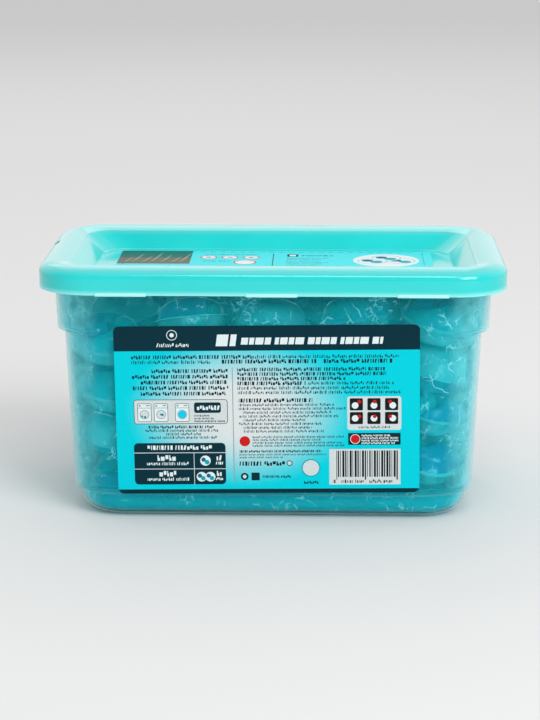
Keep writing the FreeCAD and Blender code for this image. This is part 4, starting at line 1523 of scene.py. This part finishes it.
@dataclass
class FilmBag:
    """The film bag that lines the tub, closed over the pods and drawn in between them."""

    tub: Tub
    clearance: float = 0.3
    top: float = 97.0
    spacing: float = 1.6
    deepest: float = 3.2
    look_in: float = 20.0
    share_of_gap: float = 0.55
    crumple_size: float = 11.0
    fine_share: float = 0.4
    fine_times: float = 2.7
    fine_shift: Vector = field(default_factory=lambda: Vector((7, 3, 1)))
    ridge_steepness: float = 2.2
    fine_steepness: float = 2.4
    least_corner: float = 0.5
    cap_room: float = 3.0
    more_over: int = 3
    steps: tuple[int, int, int] = (16, 100, 50)
    finish: CrumpledFilm = CrumpledFilm("crumpled_film")

    def rings(self) -> list[Ring]:
        """Return the bag's rings: its bottom, its walls and its top."""
        inset = self.tub.wall + self.clearance
        walls = self.tub.wall_rings(inset, self.top)[:-2]
        foot, low, high = walls[:-2], walls[-2], walls[-1]
        steps = int((self.top - low.height) / self.spacing)
        sides = []
        for step in range(steps + 1):
            height = low.height + (self.top - low.height) * step / steps
            lean = self.tub.draft * (height - high.height)
            sides.append(Ring(height, high.half_length + lean, high.half_width + lean, high.corner))
        caps = int((foot[0].half_width - self.cap_room) / self.spacing)
        under = [self.cap_ring(foot[0], self.spacing * step) for step in range(caps, 0, -1)]
        over = [self.cap_ring(sides[-1], self.spacing * step)
                for step in range(1, caps + self.more_over + 1)]
        return under + foot + sides + over

    def cap_ring(self, edge: Ring, by: float) -> Ring:
        """Return a ring of a flat end, drawn in from its edge."""
        return Ring(edge.height, edge.half_length - by, edge.half_width - by,
                    max(edge.corner - by, self.least_corner))

    def crumple(self, point: Vector) -> float:
        """Return how far the film wants to draw in at a point, from 0 to 1."""
        calm = max(0.0, min(1.0, (point.z - self.tub.step) / self.crumple_size))
        place = point / self.crumple_size
        ridge = 1 - abs(noise.noise(place)) * self.ridge_steepness
        fine = 1 - abs(noise.noise(place * self.fine_times + self.fine_shift)) * self.fine_steepness
        return calm * max(0.0, min(1.0, (1 - self.fine_share) * ridge + self.fine_share * fine))

    def build(self, pods: Sequence[bpy.types.Object]) -> bpy.types.Object:
        """Build the bag and draw it in where there is room over the pods.

        Args:
            pods: The pods that it holds.

        Returns:
            The bag.
        """
        loops = [ring.points(*self.steps) for ring in self.rings()]
        bag = new_piece("film_bag", [point for loop in loops for point in loop], skin(loops),
                        [self.finish.material()], sharp=180)
        bpy.context.view_layer.update()
        points, faces = [], []
        for pod in pods:
            first = len(points)
            points += [pod.matrix_world @ vertex.co for vertex in pod.data.vertices]
            faces += [[first + number for number in face.vertices] for face in pod.data.polygons]
        tree = BVHTree.FromPolygons(points, faces)
        inwards = [-vertex.normal for vertex in bag.data.vertices]
        for vertex, inward in zip(bag.data.vertices, inwards):
            hit = tree.ray_cast(vertex.co, inward, self.look_in * MM)[3]
            room = self.share_of_gap * hit if hit is not None else self.deepest * MM
            vertex.co += inward * min(room, self.deepest * MM) * self.crumple(vertex.co / MM)
        bag.data.update()
        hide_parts("inner_bag")
        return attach(bag, Body.TUB.value)


@dataclass
class Studio:
    """A pale paper floor, soft lamps and a camera at the photograph's viewing angle."""

    turn: float = -0.0262
    tilt: float = 0.236
    distance: float = 933.27
    aim: Vector = field(default_factory=lambda: Vector((-2.003, 0, 57.784)))
    lens: float = 108.512
    floor_size: float = 16.0
    world_colour: str = "#F6F6F6"
    world_strength: float = 0.8
    mirrored_level: float = 1.15
    mirrored_overhead: float = 0.45
    mirrored_in_front: float = 0.35
    overhead_start: float = 0.4
    overhead_full: float = 0.9
    behind_full: float = 0.3
    lamp_aim: Vector = field(default_factory=lambda: Vector((0, 0, 0.06)))
    floor_finish: PaperSweep = PaperSweep()

    def camera(self) -> None:
        """Place the camera."""
        data = bpy.data.cameras.new("camera")
        data.lens = self.lens
        data.clip_start, data.clip_end = 0.05, 40
        made = bpy.data.objects.new("camera", data)
        turned = Matrix.Rotation(-self.turn, 4, "Z")
        made.location = turned @ ((self.aim + self.distance * Vector((0, -math.cos(self.tilt),
                                                                      math.sin(self.tilt)))) * MM)
        made.rotation_euler = (math.pi / 2 - self.tilt, 0, -self.turn)
        bpy.context.scene.collection.objects.link(made)
        bpy.context.scene.camera = made

    def lamp(self, name: str, place: Vector, size: float, power: float) -> None:
        """Add a soft square white lamp that faces the tub.

        Args:
            name: The lamp's name.
            place: Its place in metres.
            size: Its side in metres.
            power: Its power in watts.
        """
        data = bpy.data.lights.new(name, "AREA")
        data.shape, data.size, data.energy = "SQUARE", size, power
        made = bpy.data.objects.new(name, data)
        made.location = place
        made.rotation_euler = (self.lamp_aim - place).to_track_quat("-Z", "Y").to_euler()
        bpy.context.scene.collection.objects.link(made)

    def world(self) -> None:
        """Light the scene evenly, with a paler wall behind the tub for what it mirrors."""
        world = bpy.data.worlds.new("studio")
        world.use_nodes = True
        tree = world.node_tree
        background = tree.nodes["Background"]
        background.inputs["Color"].default_value = linear(self.world_colour)
        apart = add_node(tree, "ShaderNodeSeparateXYZ",
                         {0: add_node(tree, "ShaderNodeTexCoord").outputs["Generated"]})
        upwards = add_node(tree, "ShaderNodeMapRange", {
            "Value": apart.outputs["Z"], "From Min": self.overhead_start,
            "From Max": self.overhead_full, "To Min": self.mirrored_level,
            "To Max": self.mirrored_overhead})
        backwards = add_node(tree, "ShaderNodeMapRange", {
            "Value": apart.outputs["Y"], "From Min": -self.behind_full, "From Max": self.behind_full,
            "To Min": self.mirrored_in_front, "To Max": 1.0})
        mirrored = add_node(tree, "ShaderNodeMath", {0: upwards.outputs[0], 1: backwards.outputs[0]},
                            operation="MULTIPLY")
        strength = add_node(tree, "ShaderNodeMix", {
            0: add_node(tree, "ShaderNodeLightPath").outputs["Is Glossy Ray"], 2: self.world_strength,
            3: mirrored.outputs[0]})
        tree.links.new(strength.outputs[0], background.inputs["Strength"])
        bpy.context.scene.world = world

    def build(self) -> None:
        """Build the floor, the world, the lamps and the camera."""
        half = self.floor_size / 2 / MM
        corners = ((-half, -half), (half, -half), (half, half), (-half, half))
        floor = new_piece("paper_floor", [Vector((x, y, 0)) for x, y in corners], [[0, 1, 2, 3]],
                          [self.floor_finish.material()])
        self.world()
        self.lamp("key_lamp", Vector((0.9, -1.2, 1.1)), 0.9, 16)
        self.lamp("far_lamp", Vector((-0.2, 1.4, 1.3)), 1.2, 3)
        self.lamp("edge_lamp", Vector((0.1, -0.85, 1.5)), 0.5, 3)
        self.camera()
        bpy.context.scene.view_settings.view_transform = "Standard"


def main() -> None:
    """Build every piece in order and report it."""
    logging.basicConfig(level=logging.INFO, format="%(name)s: %(message)s")
    tub = Tub()
    log.info("built %s", tub.build().name)
    log.info("built %s", SnapLid().build().name)
    inks = {ink: PrintedFilm(f"{ink.name.lower()}_ink_on_film", ink.value).material() for ink in Ink}
    side_size, side_middle = (124.6, 71.8), 48.2
    lid_size, lid_label_height = (134.8, 60.8), 99.6
    near_ground = PrintedFilm("cyan_printed_film", "#00CDDB", "#D8DEDE", (-13.0, -48.0, 47.0),
                              (44.0, 60.0, 30.0))
    far_ground = PrintedFilm("teal_printed_film", "#00AFBF", "#35CBD6", (0.0, 48.0, 48.0),
                             (60.0, 60.0, 40.0))
    lid_ground = PrintedFilm("turquoise_printed_film", "#4ADFE6")
    for label in (
        PrintedLabel("info_label", "label_info", "info_label", Body.TUB, *side_size,
                     side_place(-1, -1.8, 0.75, tub, side_middle), near_ground, info_marks()),
        PrintedLabel("far_label", "label_front", "front_label", Body.TUB, *side_size,
                     side_place(1, 0.0, 0.0, tub, side_middle), far_ground, front_marks()),
        PrintedLabel("recess_label", "label_lid", "lid_label", Body.LID, *lid_size,
                     Matrix.Translation((0, 0, lid_label_height * MM)), lid_ground, lid_marks()),
    ):
        piece = label.build(inks)
        log.info("built %s with %d faces", piece.name, len(piece.data.polygons))
    pods = PodFill().build()
    log.info("seated %d pods of %d faces", len(pods), len(pods[0].data.polygons))
    log.info("built %s", FilmBag(tub).build(pods).name)
    Studio().build()


if __name__ == "__main__":
    main()
